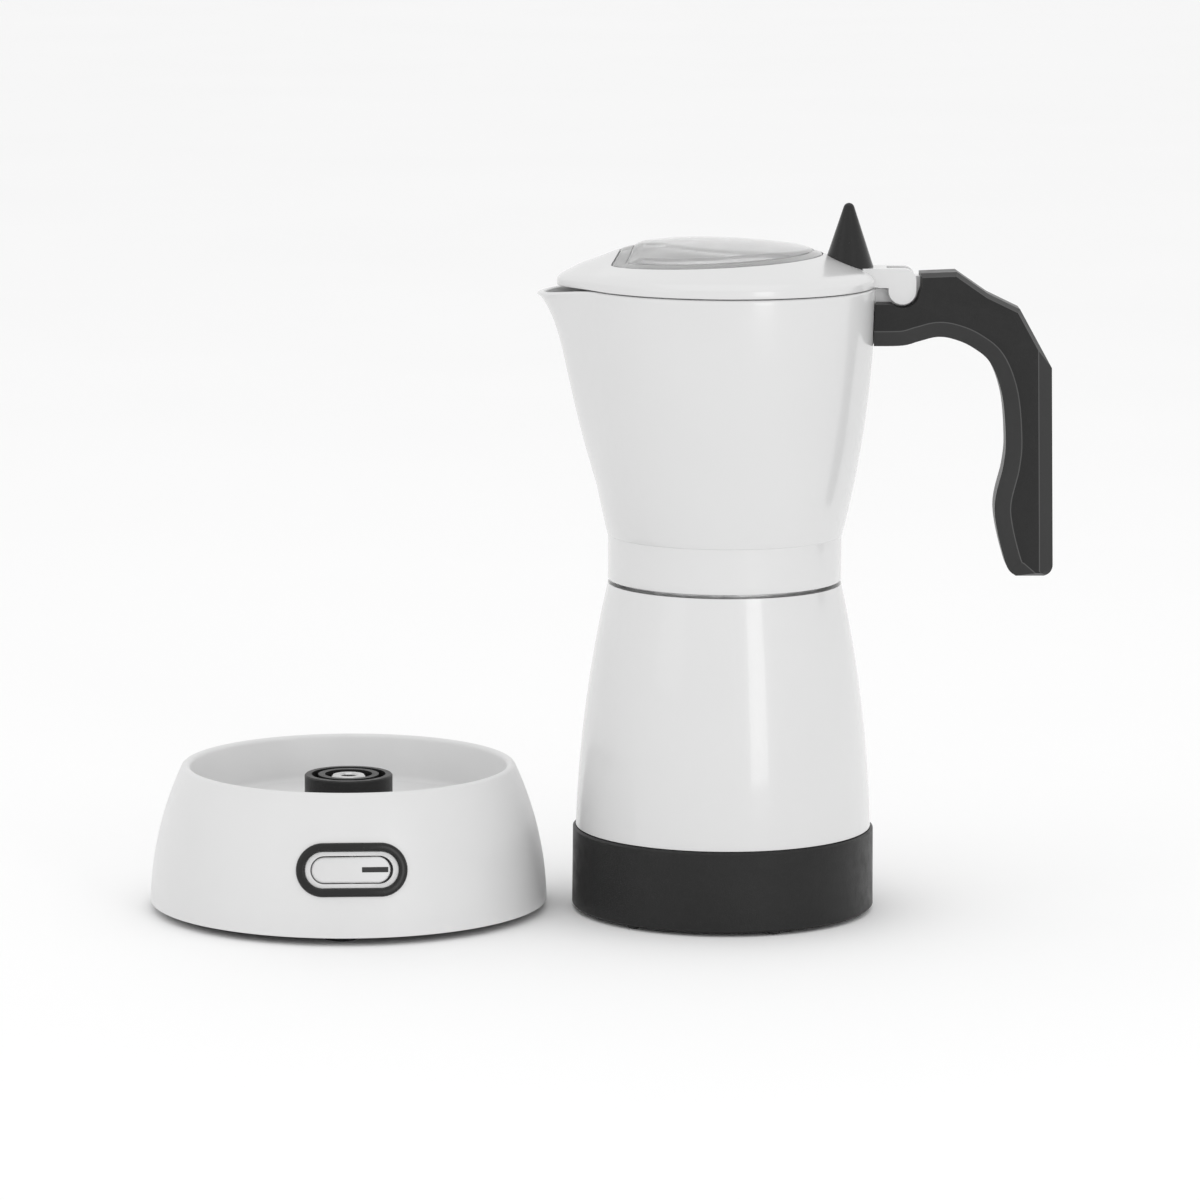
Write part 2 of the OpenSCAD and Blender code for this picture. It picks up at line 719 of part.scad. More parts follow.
module switch_rocker() {
    color(white_paint) at_stand() at_switch() translate([0, 0, -rocker_pivot]) rotate([0, -rocker_tilt, 0]) {
        intersection() {
            translate([0, 0, -rocker_deep]) linear_extrude(height = 2 * rocker_deep) stadium(rocker_l, rocker_h);
            rotate([90, 0, 0]) linear_extrude(height = 2 * rocker_h, center = true)
                translate([0, rocker_pivot]) polygon([
                    [-rocker_l / 2, -rocker_face], [rocker_l / 2, -rocker_face],
                    [rocker_l / 2, -rocker_face - rocker_side], [rocker_foot_l / 2, -rocker_deep],
                    [-rocker_foot_l / 2, -rocker_deep], [-rocker_l / 2, -rocker_face - rocker_side]
                ]);
        }
        rotate([90, 0, 0]) cylinder(r = trunnion_r, h = frame_h - 2 * case_play, center = true);
    }
}

module cord_gland() {
    collar_y = stand_skin_r(gland_z + gland_collar_r) - stand_wall - gland_collar_l - 0.6;
    color(rubber_black) at_stand() difference() {
        intersection() {
            translate([0, 0, gland_z]) rotate([-90, 0, 0]) union() {
                translate([0, 0, collar_y]) cylinder(r = gland_r, h = stand_r);
                translate([0, 0, collar_y]) cylinder(r = gland_collar_r, h = gland_collar_l);
            }
            rotate_extrude() polygon(concat(
                [[0, 0], [stand_skin_r(0), 0]],
                [for (k = [1 : 7]) let (z = gland_trim_z * k / 7) [stand_skin_r(z), z]],
                [[0, gland_trim_z]]
            ));
        }
        translate([0, 0, gland_z]) rotate([-90, 0, 0]) cylinder(r = gland_bore_r, h = 2 * stand_r);
    }
}

// Pot

module heater_housing() {
    color(black_plastic) at_pot() difference() {
        union() {
            rotate_extrude() polygon([
                [socket_r + socket_wall + slip_gap, housing_base], [housing_r + housing_taper / 2 - housing_edge, housing_base],
                [housing_r + housing_taper / 2, housing_base + housing_edge],
                [housing_r - housing_taper / 2, housing_top - housing_edge],
                [housing_r - housing_taper / 2 - housing_edge, housing_top],
                [housing_r - housing_wall, housing_top], [housing_r - housing_wall, housing_floor],
                [socket_r + socket_wall + slip_gap, housing_floor]
            ]);
            ring_of(3, post_ring_r, 90) translate([0, 0, housing_base + housing_wall / 2])
                cylinder(r = lug_post_r, h = lug_post_top - housing_base - housing_wall / 2);
        }
        ring_of(3, post_ring_r, 90) {
            translate([0, 0, housing_base - 1]) cylinder(r = screw_head_r + loose_gap, h = housing_screw_seat - housing_base + 1);
            cylinder(r = screw_r + slip_gap, h = housing_top);
        }
        ring_of(3, socket_screw_ring_r, 30) translate([0, 0, housing_floor - housing_wall * 0.7])
            cylinder(r = screw_r + run_fit, h = housing_wall);
    }
}

module housing_studs() {
    color(rubber_black) at_pot() ring_of(stud_count, stud_ring_r, stud_phase) rotate_extrude() polygon([
        [0, 0], [stud_r - 0.4, 0], [stud_r, 0.4], [stud_r, stud_h], [0, stud_h]
    ]);
}

module housing_screws() {
    color(steel) at_pot() ring_of(3, post_ring_r, 90) translate([0, 0, housing_screw_seat])
        screw(screw_r, housing_screw_l, screw_head_r, screw_head_h);
}

module pot_socket() {
    flange_z = housing_floor;
    color(black_plastic) at_pot() difference() {
        rotate_extrude() polygon([
            [socket_r, housing_base], [socket_r + socket_wall, housing_base], [socket_r + socket_wall, flange_z],
            [socket_flange_r, flange_z], [socket_flange_r, flange_z + socket_flange_t],
            [socket_r + socket_wall, flange_z + socket_flange_t], [socket_r + socket_wall, socket_roof + socket_roof_t],
            [0, socket_roof + socket_roof_t], [0, socket_roof], [socket_r, socket_roof]
        ]);
        ring_of(3, socket_screw_ring_r, 30) translate([0, 0, flange_z - 1])
            cylinder(r = screw_r + slip_gap, h = socket_flange_t + 2);
    }
}

module socket_screws() {
    color(steel) at_pot() ring_of(3, socket_screw_ring_r, 30) translate([0, 0, housing_floor + socket_flange_t])
        mirror([0, 0, 1]) screw(screw_r, socket_flange_t + housing_wall * 0.6, screw_head_r, screw_head_h);
}

// Blades that reach into the connector's grooves, and the earth pin that enters its sleeve
module socket_contacts() {
    live_r = (post_r - post_wall + ring_out_r) / 2;
    neutral_r = (ring_in_r + sleeve_r) / 2;
    color(brass) at_pot() {
        for (side = [-1, 1]) translate([side * (side < 0 ? live_r : neutral_r), 0, socket_roof - blade_l / 2])
            cube([blade_t, side < 0 ? blade_w : blade_w / 2, blade_l], center = true);
        translate([0, 0, socket_roof - blade_l]) cylinder(r = sleeve_bore_r - loose_gap, h = blade_l);
    }
}

module heating_element() {
    ring_z = boiler_base - element_r - seat_gap;
    color(steel) at_pot() {
        translate([0, 0, ring_z]) rotate_extrude() translate([element_ring_r, 0]) circle(r = element_r);
        for (side = [-1, 1]) rotate([0, 0, side * element_stub_turn]) translate([element_ring_r, 0, ring_z - element_stub_l])
            cylinder(r = element_stub_r, h = element_stub_l);
    }
}

module thermostat() {
    tab = [0.8, 5, 5];
    disc_z = boiler_base - thermostat_h - seat_gap;
    color(steel) at_pot() {
        translate([0, 0, disc_z]) cylinder(r = thermostat_r, h = thermostat_h);
        for (side = [-1, 1]) translate([side * thermostat_r / 2, 0, disc_z]) cube(tab, center = true);
    }
}

module boiler() {
    steps = 8;
    inner_steps = 4;
    water_floor = boiler_base + boiler_floor_t;
    water_top = boiler_top - shoulder_t;
    outer = [for (i = [0 : steps]) let (z = boiler_base + (boiler_top - boiler_base) * i / steps) [boiler_skin_r(z), z]];
    inner = [for (i = [inner_steps : -1 : 0]) let (z = water_floor + (water_top - water_floor) * i / inner_steps)
        [boiler_skin_r(z) - boiler_wall, z]];
    color(white_paint) at_pot() difference() {
        union() {
            rotate_extrude() polygon(concat(
                [[0, boiler_base], [spigot_r - spigot_t, boiler_base], [spigot_r - spigot_t, boiler_base - spigot_h],
                    [spigot_r, boiler_base - spigot_h], [spigot_r, boiler_base]],
                outer,
                [[neck_r, boiler_top], [neck_r, neck_top], [neck_bore_r, neck_top],
                    [neck_bore_r, boiler_top - shoulder_t / 2]],
                inner,
                [[0, water_floor]]
            ));
            ring_of(3, post_ring_r, 90) translate([0, 0, lug_post_top + seat_gap])
                cylinder(r = lug_post_r, h = boiler_base + boiler_floor_t / 2 - lug_post_top);
            translate([0, boiler_skin_r(valve_z) - boiler_wall / 2, valve_z]) rotate([-90, 0, 0])
                cylinder(r = valve_boss_r, h = valve_face_y - boiler_skin_r(valve_z) + boiler_wall / 2);
        }
        ring_of(3, post_ring_r, 90) translate([0, 0, housing_screw_seat])
            cylinder(r = screw_r + run_fit, h = housing_screw_l + 0.5);
        translate([0, 0, valve_z]) rotate([-90, 0, 0]) cylinder(r = valve_neck_r + run_fit, h = 2 * boiler_r);
    }
}

module valve_body() {
    color(brass) at_valve() difference() {
        union() {
            translate([0, 0, -valve_neck_l]) cylinder(r = valve_neck_r, h = valve_neck_l + valve_hex_h / 2);
            cylinder(r = valve_hex_r, h = valve_hex_h, $fn = 6);
            cylinder(r = valve_barrel_r, h = valve_barrel_l);
        }
        translate([0, 0, valve_seat_t - valve_neck_l]) cylinder(r = valve_cavity_r, h = valve_neck_l + valve_barrel_l);
        translate([0, 0, -valve_neck_l - 1]) cylinder(r = valve_seat_hole_r, h = valve_seat_t + 2);
    }
}

module valve_cap() {
    color(brass) at_valve() translate([0, 0, valve_barrel_l]) difference() {
        union() {
            translate([0, 0, seat_gap]) cylinder(r = valve_barrel_r, h = cap_t);
            translate([0, 0, -cap_plug_l]) cylinder(r = valve_cavity_r - run_fit, h = cap_plug_l + cap_t / 2);
        }
        translate([0, 0, -cap_plug_l - 1]) cylinder(r = stem_r + run_fit, h = cap_plug_l + cap_t + 2);
    }
}

module valve_stem() {
    plunger_z = valve_seat_t - valve_neck_l + seat_gap;
    color(steel) at_valve() {
        translate([0, 0, plunger_z]) cylinder(r = plunger_r, h = plunger_t);
        translate([0, 0, plunger_z]) cylinder(r = stem_r, h = valve_barrel_l + cap_t + stem_out - plunger_z);
    }
}

module valve_spring() {
    spring_foot = valve_seat_t - valve_neck_l + plunger_t + 2 * seat_gap;
    color(steel) at_valve() translate([0, 0, spring_foot])
        coil(spring_r, spring_wire_r, valve_barrel_l - cap_plug_l - seat_gap - spring_foot, spring_turns);
}

module filter_funnel() {
    basket_floor = neck_top - basket_h;
    foot = boiler_base + boiler_floor_t + tube_foot_gap;
    color(aluminium) at_pot() difference() {
        rotate_extrude() polygon([
            [tube_bore_r, foot], [tube_r, foot], [tube_r, basket_floor - 5], [tube_r + 4, basket_floor],
            [basket_r, basket_floor], [basket_r, neck_top], [funnel_rim_r, neck_top],
            [funnel_rim_r, neck_top + funnel_rim_t], [basket_r - basket_wall, neck_top + funnel_rim_t],
            [basket_r - basket_wall, basket_floor + basket_wall], [tube_bore_r, basket_floor + basket_wall]
        ]);
        for (k = [2 : 4]) ring_of(6 * k, plate_hole_pitch * k) translate([0, 0, basket_floor - 1])
            cylinder(r = plate_hole_r, h = basket_wall + 2, $fn = 24);
    }
}

module gasket() {
    foot = neck_top + funnel_rim_t + seat_gap;
    color(silicone) at_pot() rotate_extrude() polygon([
        [gasket_lip_r, foot], [gasket_r, foot], [gasket_r, foot + gasket_t], [plate_r + slip_gap, foot + gasket_t],
        [plate_r + slip_gap, foot + gasket_t / 2], [gasket_lip_r, foot + gasket_t / 2]
    ]);
}

module filter_plate() {
    foot = neck_top + funnel_rim_t + seat_gap + gasket_t / 2;
    color(steel) at_pot() translate([0, 0, foot]) difference() {
        cylinder(r = plate_r, h = plate_t);
        translate([0, 0, -1]) cylinder(r = plate_hole_r, h = plate_t + 2, $fn = 24);
        for (k = [1 : plate_ring_count]) ring_of(6 * k, plate_hole_pitch * k) translate([0, 0, -1])
            cylinder(r = plate_hole_r, h = plate_t + 2, $fn = 24);
    }
}

// Jug

function jug_ring(share, thickness, low) = [
    for (turn = turns) let (
        z = low + (jug_rim_z(turn) - low) * share,
        r = jug_skin_r(z, turn) - thickness
    ) [-r * cos(turn), -r * sin(turn), z]
];

module jug() {
    foot_ring = [for (turn = turns) (waist_r - 0.7) * [-cos(turn), -sin(turn), 0] + [0, 0, band_top - 0.7]];
    outer_shares = [0, 0.12, 0.25, 0.38, 0.5, 0.62, 0.74, 0.83, 0.9, 0.95, 0.98, 1];
    inner_shares = [1, 0.97, 0.92, 0.84, 0.72, 0.58, 0.42, 0.26, 0.12];
    inner_foot = [for (turn = turns) (flare_r(jug_floor) - jug_wall) * [-cos(turn), -sin(turn), 0] + [0, 0, jug_floor]];
    inner_sunk = [for (turn = turns) (waist_r - 1.9) * [-cos(turn), -sin(turn), 0] + [0, 0, jug_floor - 1]];
    tongue = bracket_w / 2;
    color(white_paint) difference() {
        union() {
            at_pot() rotate_extrude() polygon([
                [jug_bore_r, jug_base], [waist_r, jug_base], [waist_r, band_top],
                [waist_r - 0.6, jug_floor + 0.6], [waist_r - 2.6, jug_floor], [column_spigot_r + run_fit, jug_floor],
                [column_spigot_r + run_fit, jug_ceiling], [jug_bore_r, jug_ceiling]
            ]);
            at_pot() ring_shell(concat(
                [foot_ring],
                [for (share = outer_shares) jug_ring(share, 0, band_top)],
                [for (share = inner_shares) jug_ring(share, jug_wall, band_top)],
                [inner_foot, inner_sunk]
            ));
            at_mount() upright(2 * tongue) {
                translate([0, pivot_rise]) circle(r = ear_r);
                polygon([
                    [-hinge_reach - jug_wall * 0.6, -tang_under], [tang_end, -tang_under], [tang_end, -tang_top],
                    [plate_end, -tang_top], [plate_end, plate_top], [0, plate_top], [0.1 - ear_r, pivot_rise],
                    [0.1 - ear_r, arm_top], [-hinge_reach - jug_wall * 0.6, arm_top]
                ]);
            }
        }
        at_pivot() rotate([90, 0, 0]) cylinder(r = pin_r + run_fit / 2, h = 2 * bracket_w, center = true);
        at_mount() translate([handle_screw_x, 0, -handle_screw_seat])
            cylinder(r = handle_screw_r + run_fit, h = handle_screw_l + 0.5);
    }
}

module column() {
    foot = jug_floor;
    top = foot + column_h;
    color(aluminium) at_pot() difference() {
        rotate_extrude() polygon([
            [column_bore_r, jug_ceiling], [column_spigot_r, jug_ceiling], [column_spigot_r, foot],
            [column_flange_r, foot], [column_flange_r, foot + column_flange_t], [column_r, foot + column_flange_t],
            [column_top_r, top - 1], [column_top_r - 1, top], [0, top], [0, top - column_cap_t],
            [column_bore_r, top - column_cap_t]
        ]);
        translate([0, 0, top - 4 * column_port_r]) rotate([90, 0, 0])
            cylinder(r = column_port_r, h = 4 * column_r, center = true);
    }
}

// Handle: its side view's outline, counted from the bracket's datum.
// Each point has the bevel width of the edge that starts there, and may have its own drawn-in place.

edge_bevel = 1.2;
notch_bevel = 0.4;
foot_round = 3.4;
handle_top = 5.4;
handle_bend = 0.36;      // where the top ends, as a share of the corner's reach
handle_corner = 24.4;    // drop of the corner where the outer side turns upright
handle_front = -hinge_reach - 1.2;
handle_knee = handle_reach - handle_lean;

function with_bevel(points, width) = [for (p = points) [p[0], p[1], width]];

foot_arc = arc(handle_reach - foot_round, foot_round - handle_drop, foot_round, 0, -80, 3);
handle_upper = concat(
    with_bevel([[handle_front, -front_top], [-notch_r - 0.2, -front_top]], notch_bevel),
    with_bevel(arc(0, notch_z, notch_r, 180 + asin((front_top + notch_z) / notch_r),
        360 + asin((notch_meet_z - notch_z) / notch_r), 7), notch_bevel),
    with_bevel([for (share = [0.5, 1]) let (
        low = asin((notch_meet_z - pivot_rise) / notch_swing_r),
        a = low + (-acos(notch_side / notch_swing_r) - low) * share
    ) [notch_swing_r * cos(a), pivot_rise + notch_swing_r * sin(a)]], notch_bevel),
    with_bevel([[notch_side, handle_top - 0.3]], edge_bevel),
    with_bevel([[handle_knee * handle_bend, handle_top + 0.2], [handle_knee * 0.57, handle_top - 6.6]], edge_bevel),
    with_bevel([[handle_knee - 10.2, -6], [handle_knee - 5.1, -3 - handle_corner / 2]], edge_bevel),
    [for (share = [0 : 0.17 : 0.86])
        [handle_knee + handle_lean * share, -handle_corner - share * (handle_drop - foot_round - handle_corner), back_bevel]],
    [for (k = [0 : 3]) [
        foot_arc[k][0], foot_arc[k][1], edge_bevel,
        [handle_reach - back_bevel + 0.15 * k + 0.05 * k * k, edge_bevel - handle_drop + 0.6 - 0.2 * k]
    ]]
);

grip_in = handle_knee - 15;
handle_lower_path = [
    [handle_front, -front_under], [0.2, -front_under + 0.2], [5.5, -16.1], [11, -14.75], [16, -15.35], [22, -17.9],
    [27.8, -22.9], [grip_in - 0.4, -33], [grip_in + 0.9, -46.5], [grip_in + 0.3, -55], [grip_in - 2.3, -69],
    [grip_in + 1.4, 4 - handle_drop], [grip_in + 4.6, -handle_drop]
];
handle_lower = with_bevel(smooth(handle_lower_path, 2), finger_bevel);

// The outline runs along the upper edge, back along the lower edge and up the front
handle_outline = concat(
    [for (i = [1 : len(handle_upper) - 1]) handle_upper[i]],
    [for (i = [len(handle_lower) - 1 : -1 : 1]) handle_lower[i]],
    [[handle_lower[0][0], handle_lower[0][1], notch_bevel], handle_upper[0]]
);

function unit(v) = v / norm(v);
function inward(a, b) = unit([b[1] - a[1], a[0] - b[0]]);
// How far a corner moves when its two edges move in by their own bevels
function corner_shift(n, m, width_n, width_m) =
    let (c = n * m)
    c > 0.97 ? unit(n + m) * (width_n + width_m) / 2
        : ((width_n - width_m * c) * n + (width_m - width_n * c) * m) / (1 - c * c);
function drawn_in(share) = [
    for (i = [0 : len(handle_outline) - 1]) let (
        n = len(handle_outline),
        here = handle_outline[i],
        before = handle_outline[(i + n - 1) % n],
        after = handle_outline[(i + 1) % n],
        place = [here[0], here[1]],
        shift = len(here) == 4 ? here[3] - place
            : corner_shift(inward(before, here), inward(here, after), before[2], here[2])
    ) place + shift * share
];

function handle_ring(y, share) = [for (p = drawn_in(share)) [p[0], y, p[1]]];

module handle() {
    half = handle_w / 2;
    slot_half = bracket_w / 2 + slot_gap;
    slot_front = handle_front - 1;
    color(black_plastic) difference() {
        at_mount() strip_solid([
            handle_ring(-half, 1), handle_ring(bevel_depth - half, 0),
            handle_ring(half - bevel_depth, 0), handle_ring(half, 1)
        ]);
        at_pot() rotate_extrude() polygon(concat(
            [[0, mount_z - 2 * front_under]],
            [for (k = [-2 : 0.25 : 0]) let (z = mount_z + k * front_under) [flare_r(z) + saddle_gap, z]],
            [[rim_r + saddle_gap, mount_z + front_under], [0, mount_z + front_under]]
        ));
        at_mount() {
            translate([slot_front, -slot_half, -tang_under - slot_gap])
                cube([tang_end + slot_gap - slot_front, 2 * slot_half, tang_under - tang_top + 2 * slot_gap]);
            translate([slot_front, -slot_half, -tang_top - slot_gap])
                cube([plate_end + slot_gap - slot_front, 2 * slot_half, tang_top + plate_top + 2 * slot_gap]);
            translate([handle_screw_x, 0, -handle_screw_seat - 3 * handle_screw_head_h])
                cylinder(r = handle_screw_head_r + slip_gap, h = 3 * handle_screw_head_h);
            translate([handle_screw_x, 0, -front_under])
                cylinder(r = handle_screw_r + slip_gap, h = front_under - tang_top);
        }
    }
}

module handle_screw() {
    color(steel) at_mount() translate([handle_screw_x, 0, -handle_screw_seat])
        screw(handle_screw_r, handle_screw_l, handle_screw_head_r, handle_screw_head_h);
}

module hinge_pin() {
    cover = 1.3;         // thickness of the near cheek in front of the pin
    color(steel) at_pivot() translate([0, cover - lug_w / 2, 0]) rotate([-90, 0, 0])
        cylinder(r = pin_r, h = lug_w - cover - 0.2);
}

// Lid

function lid_ring(grow, z) = [for (turn = turns) let (r = lid_outline_r(turn) + grow) [-r * cos(turn), -r * sin(turn), z]];

module at_window() {
    translate([pot_x - window_shift, 0, window_z]) children();
}

module lid() {
    crown_z = lid_top_z(lid_crown_r);
    cheek = bracket_w / 2 + cheek_gap;
    inner_r = rim_r - lid_rim_w;
    cover = 1.1;
    color(white_paint) difference() {
        union() {
            difference() {
                at_pot() ring_solid(
                    concat(
                        [lid_ring(0, lid_base)],
                        [for (d = lid_steps) lid_ring(-d, lid_edge + lid_rise(d))],
                        [[for (turn = turns) [-lid_crown_r * cos(turn), -lid_crown_r * sin(turn), crown_z]]]
                    ),
                    [0, 0, lid_base], [0, 0, crown_z]
                );
                difference() {
                    at_pot() rotate_extrude() polygon([
                        [0, lid_base - 1], [inner_r, lid_base - 1], [inner_r, lid_top_z(inner_r) - lid_t - 0.6],
                        [lid_crown_r, crown_z - lid_t], [0, crown_z - lid_t]
                    ]);
                    at_window() translate([0, 0, -window_edge_h - window_seat_h])
                        cylinder(r = window_r + window_seat_w, h = 8 * window_edge_h);
                }
            }
            translate([pot_x + knob_x, 0, knob_boss_under])
                cylinder(r = knob_boss_r, h = lid_top_z(knob_x + knob_boss_r) - knob_boss_under - lid_t / 4);
            at_pivot() upright(lug_w) {
                translate([0, -lug_low]) circle(r = lug_r);
                translate([lug_r - lug_corner_r, lug_top - lug_corner_r]) circle(r = lug_corner_r);
                translate([-lug_r, -lug_low]) square([2 * lug_r, lug_low + lug_top - lug_corner_r]);
                translate([tab_wall_gap - hinge_reach, -tab_under])
                    square([hinge_reach - tab_wall_gap + lug_r - lug_corner_r, lug_top + tab_under]);
                translate([-tab_root, lid_base - mount_z - pivot_rise])
                    square([hinge_reach, lug_top - lid_base + mount_z + pivot_rise]);
            }
        }
        at_window() translate([0, 0, -window_edge_h]) cylinder(r = window_r + slip_gap, h = 4 * window_edge_h);
        at_window() translate([0, 0, -4 * window_edge_h]) cylinder(r = window_r - window_seat_w, h = 8 * window_edge_h);
        at_pivot() translate([-lug_r - loose_gap, -cheek, -2 * lug_r])
            cube([4 * lug_r, 2 * cheek, 4 * lug_r]);
        at_pivot() translate([0, cover - lug_w / 2, 0]) rotate([-90, 0, 0]) cylinder(r = pin_r + run_fit, h = lug_w);
        translate([pot_x + knob_x, 0, knob_boss_under - 1])
            cylinder(r = handle_screw_r + slip_gap, h = knob_h);
    }
}

module lid_window() {
    top_r = window_r - window_bevel_w;
    dome_h = window_crown - window_lip - window_bevel_h;
    dome_r = (pow(top_r, 2) + pow(dome_h, 2)) / (2 * dome_h);
    half = asin(top_r / dome_r);
    steps = 8;
    outer = arc(0, window_crown - dome_r, dome_r, 90 - half, 90, steps);
    inner = arc(0, window_crown - dome_r, dome_r - window_t, 90, 90 - half, steps);
    color(clear) at_window() rotate_extrude() polygon(concat(
        [[window_r, -window_edge_h], [window_r, window_lip]], outer, inner,
        [[window_r - window_t, window_lip - 0.6], [window_r - window_t, -window_edge_h]]
    ));
}

module lid_knob() {
    foot = lid_edge;
    tip_mid = knob_tip_z - knob_tip_r;
    lean = atan(knob_slope);
    foot_r = knob_tip_r * cos(lean) + knob_slope * (tip_mid + knob_tip_r * sin(lean) - foot);
    color(black_plastic) difference() {
        translate([pot_x + knob_x, 0, 0]) rotate_extrude() polygon(concat(
            [[0, foot], [foot_r, foot]],
            arc(0, tip_mid, knob_tip_r, lean, 90, 6)
        ));
        at_pot() rotate_extrude() polygon(concat(
            [[0, lid_base], [rim_r, lid_base]],
            [for (d = lid_steps) [rim_r - d, lid_edge + lid_rise(d)]],
            [[lid_crown_r, lid_top_z(lid_crown_r)], [0, lid_top_z(lid_crown_r)]]
        ));
        at_pivot() translate([-2 * hinge_reach, -lug_w / 2, lug_top - 2 * lug_r])
            cube([4 * hinge_reach, lug_w, 2 * lug_r]);
        translate([pot_x + knob_x, 0, foot - 1]) cylinder(r = handle_screw_r + run_fit, h = knob_screw_l + 1.5);
    }
}

module knob_screw() {
    color(steel) translate([pot_x + knob_x, 0, knob_boss_under])
        screw(handle_screw_r, knob_screw_l, handle_screw_head_r, handle_screw_head_h);
}

stand_shell();
stand_base();
stand_feet();
stand_screws();
stand_connector();
connector_screws();
live_contact();
neutral_contact();
earth_sleeve();
switch_bezel();
switch_case();
switch_rocker();
cord_gland();
heater_housing();
housing_studs();
housing_screws();
pot_socket();
socket_screws();
socket_contacts();
heating_element();
thermostat();
boiler();
valve_body();
valve_cap();
valve_stem();
valve_spring();
filter_funnel();
gasket();
filter_plate();
jug();
column();
handle();
handle_screw();
hinge_pin();
lid();
lid_window();
lid_knob();
knob_screw();
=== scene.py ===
# %% [markdown]
# # An electric moka pot and its power stand
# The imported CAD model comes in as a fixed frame: every solid is already in place and already rides on
# the body that moves it. This lesson dresses that frame. Plain turned solids keep their CAD mesh and get
# a finish; the drawn jug, the lid, the handle and the switch get finer meshes from the same sizes.

# %% Load the frame
import math

import bmesh
import bpy
from mathutils import Matrix, Vector


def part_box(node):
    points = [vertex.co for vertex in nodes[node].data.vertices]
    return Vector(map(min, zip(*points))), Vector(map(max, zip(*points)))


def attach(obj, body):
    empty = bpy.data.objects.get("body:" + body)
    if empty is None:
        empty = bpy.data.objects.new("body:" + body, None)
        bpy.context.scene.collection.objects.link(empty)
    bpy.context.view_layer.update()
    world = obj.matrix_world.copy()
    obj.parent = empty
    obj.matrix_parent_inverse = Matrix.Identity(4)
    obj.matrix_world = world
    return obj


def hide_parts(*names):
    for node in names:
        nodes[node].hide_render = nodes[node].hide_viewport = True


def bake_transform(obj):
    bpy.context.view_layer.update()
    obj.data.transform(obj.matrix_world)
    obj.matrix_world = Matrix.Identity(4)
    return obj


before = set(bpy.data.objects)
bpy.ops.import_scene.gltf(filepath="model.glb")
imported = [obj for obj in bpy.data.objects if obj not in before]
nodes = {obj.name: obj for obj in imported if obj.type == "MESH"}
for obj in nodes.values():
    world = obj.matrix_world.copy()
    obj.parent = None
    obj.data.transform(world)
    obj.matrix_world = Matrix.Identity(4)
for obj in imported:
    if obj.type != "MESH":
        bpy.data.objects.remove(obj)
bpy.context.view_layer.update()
MM = 0.001

# %% [markdown]
# ## Sizes
# The part's source works in millimetres from a few measured sizes. The same values stand here once, so
# that each fine mesh lies exactly where its CAD solid lies and the seams between pieces stay as designed.

# %% Sizes shared with the part's source
stand_r, stand_bow = 62.8, 106.0
rim_r, waist_r = 46.5, 36.7
hinge_reach, handle_reach, handle_lean, handle_drop = 8.1, 48.2, 1.2, 89.9
axis_gap = 118.5
pot_x = (stand_r + axis_gap - (rim_r + hinge_reach + handle_reach)) / 2
stand_x = pot_x - axis_gap
boiler_base, boiler_top = 26.8, 104.1
jug_base, band_top, jug_rim = 105.2, 119.7, 197.4
lid_base, lid_edge = 197.7, 200.7
mount_drop, pin_rise = 0.5, 2.0
mount = Vector((pot_x + rim_r + hinge_reach, 0.0, jug_rim - mount_drop))
pivot = mount + Vector((0.0, 0.0, pin_rise))
print("pot axis x", round(pot_x, 2), "stand axis x", round(stand_x, 2))
print("hinge pin", tuple(round(v, 2) for v in pivot))

# %% [markdown]
# ## Camera
# Product shots like this one are taken from far away with a long lens, which keeps upright edges almost
# parallel. The lens, the downward tilt and the distance were worked out from the ellipses of the stand and
# the pot in the photograph, and a fifth of a degree of roll from the lean of the pot's axis.

# %% Camera at the photograph's viewing angle
FRAME_PX, FOCAL_PX = 1200.0, 5534.4
EYE_LEFT, EYE_BACK, EYE_HIGH = 39.13, 1721.92, 366.0
camera_data = bpy.data.cameras.new("photo_camera")
camera_data.sensor_width = 36.0
camera_data.lens = 36.0 * FOCAL_PX / FRAME_PX
camera_data.clip_end = 120.0
camera = bpy.data.objects.new("photo_camera", camera_data)
bpy.context.scene.collection.objects.link(camera)
eye = Vector((pot_x - EYE_LEFT, -EYE_BACK, EYE_HIGH)) * MM
tilt_down = math.radians(8.845)
roll = math.radians(0.19)
camera.matrix_world = (
    Matrix.Translation(eye)
    @ Matrix.Rotation(math.pi / 2 - tilt_down, 4, "X")
    @ Matrix.Rotation(roll, 4, "Z")
)
bpy.context.scene.camera = camera
print("lens", round(camera_data.lens, 1), "mm, eye", [round(v, 3) for v in eye])

# %% [markdown]
# ## Mesh helpers
# Most pieces here are lofts: a closed ring of points is repeated along a path, and quads join each ring
# to the next. One helper makes the faces, another turns points and faces into a smooth piece with sharp
# corners kept sharp, and a third gives it its finish, lets it ride on its body and hides the CAD solids it
# replaces. Cuts are booleans that are applied at once, and softened edges stay modifiers.

# %% Lofts and pieces
def loft_faces(ring_count, point_count, closed):
    faces = []
    for k in range(ring_count if closed else ring_count - 1):
        low = k * point_count
        high = ((k + 1) % ring_count) * point_count
        for i in range(point_count):
            j = (i + 1) % point_count
            faces.append((low + i, low + j, high + j, high + i))
    return faces


def new_piece(name, points, faces, corner=32):
    mesh = bpy.data.meshes.new(name)
    mesh.from_pydata([Vector(p) * MM for p in points], [], faces)
    work = bmesh.new()
    work.from_mesh(mesh)
    bmesh.ops.remove_doubles(work, verts=work.verts, dist=1e-7)
    bmesh.ops.recalc_face_normals(work, faces=work.faces)
    work.to_mesh(mesh)
    work.free()
    mesh.polygons.foreach_set("use_smooth", [True] * len(mesh.polygons))
    mesh.set_sharp_from_angle(angle=math.radians(corner))
    piece = bpy.data.objects.new(name, mesh)
    bpy.context.scene.collection.objects.link(piece)
    return piece


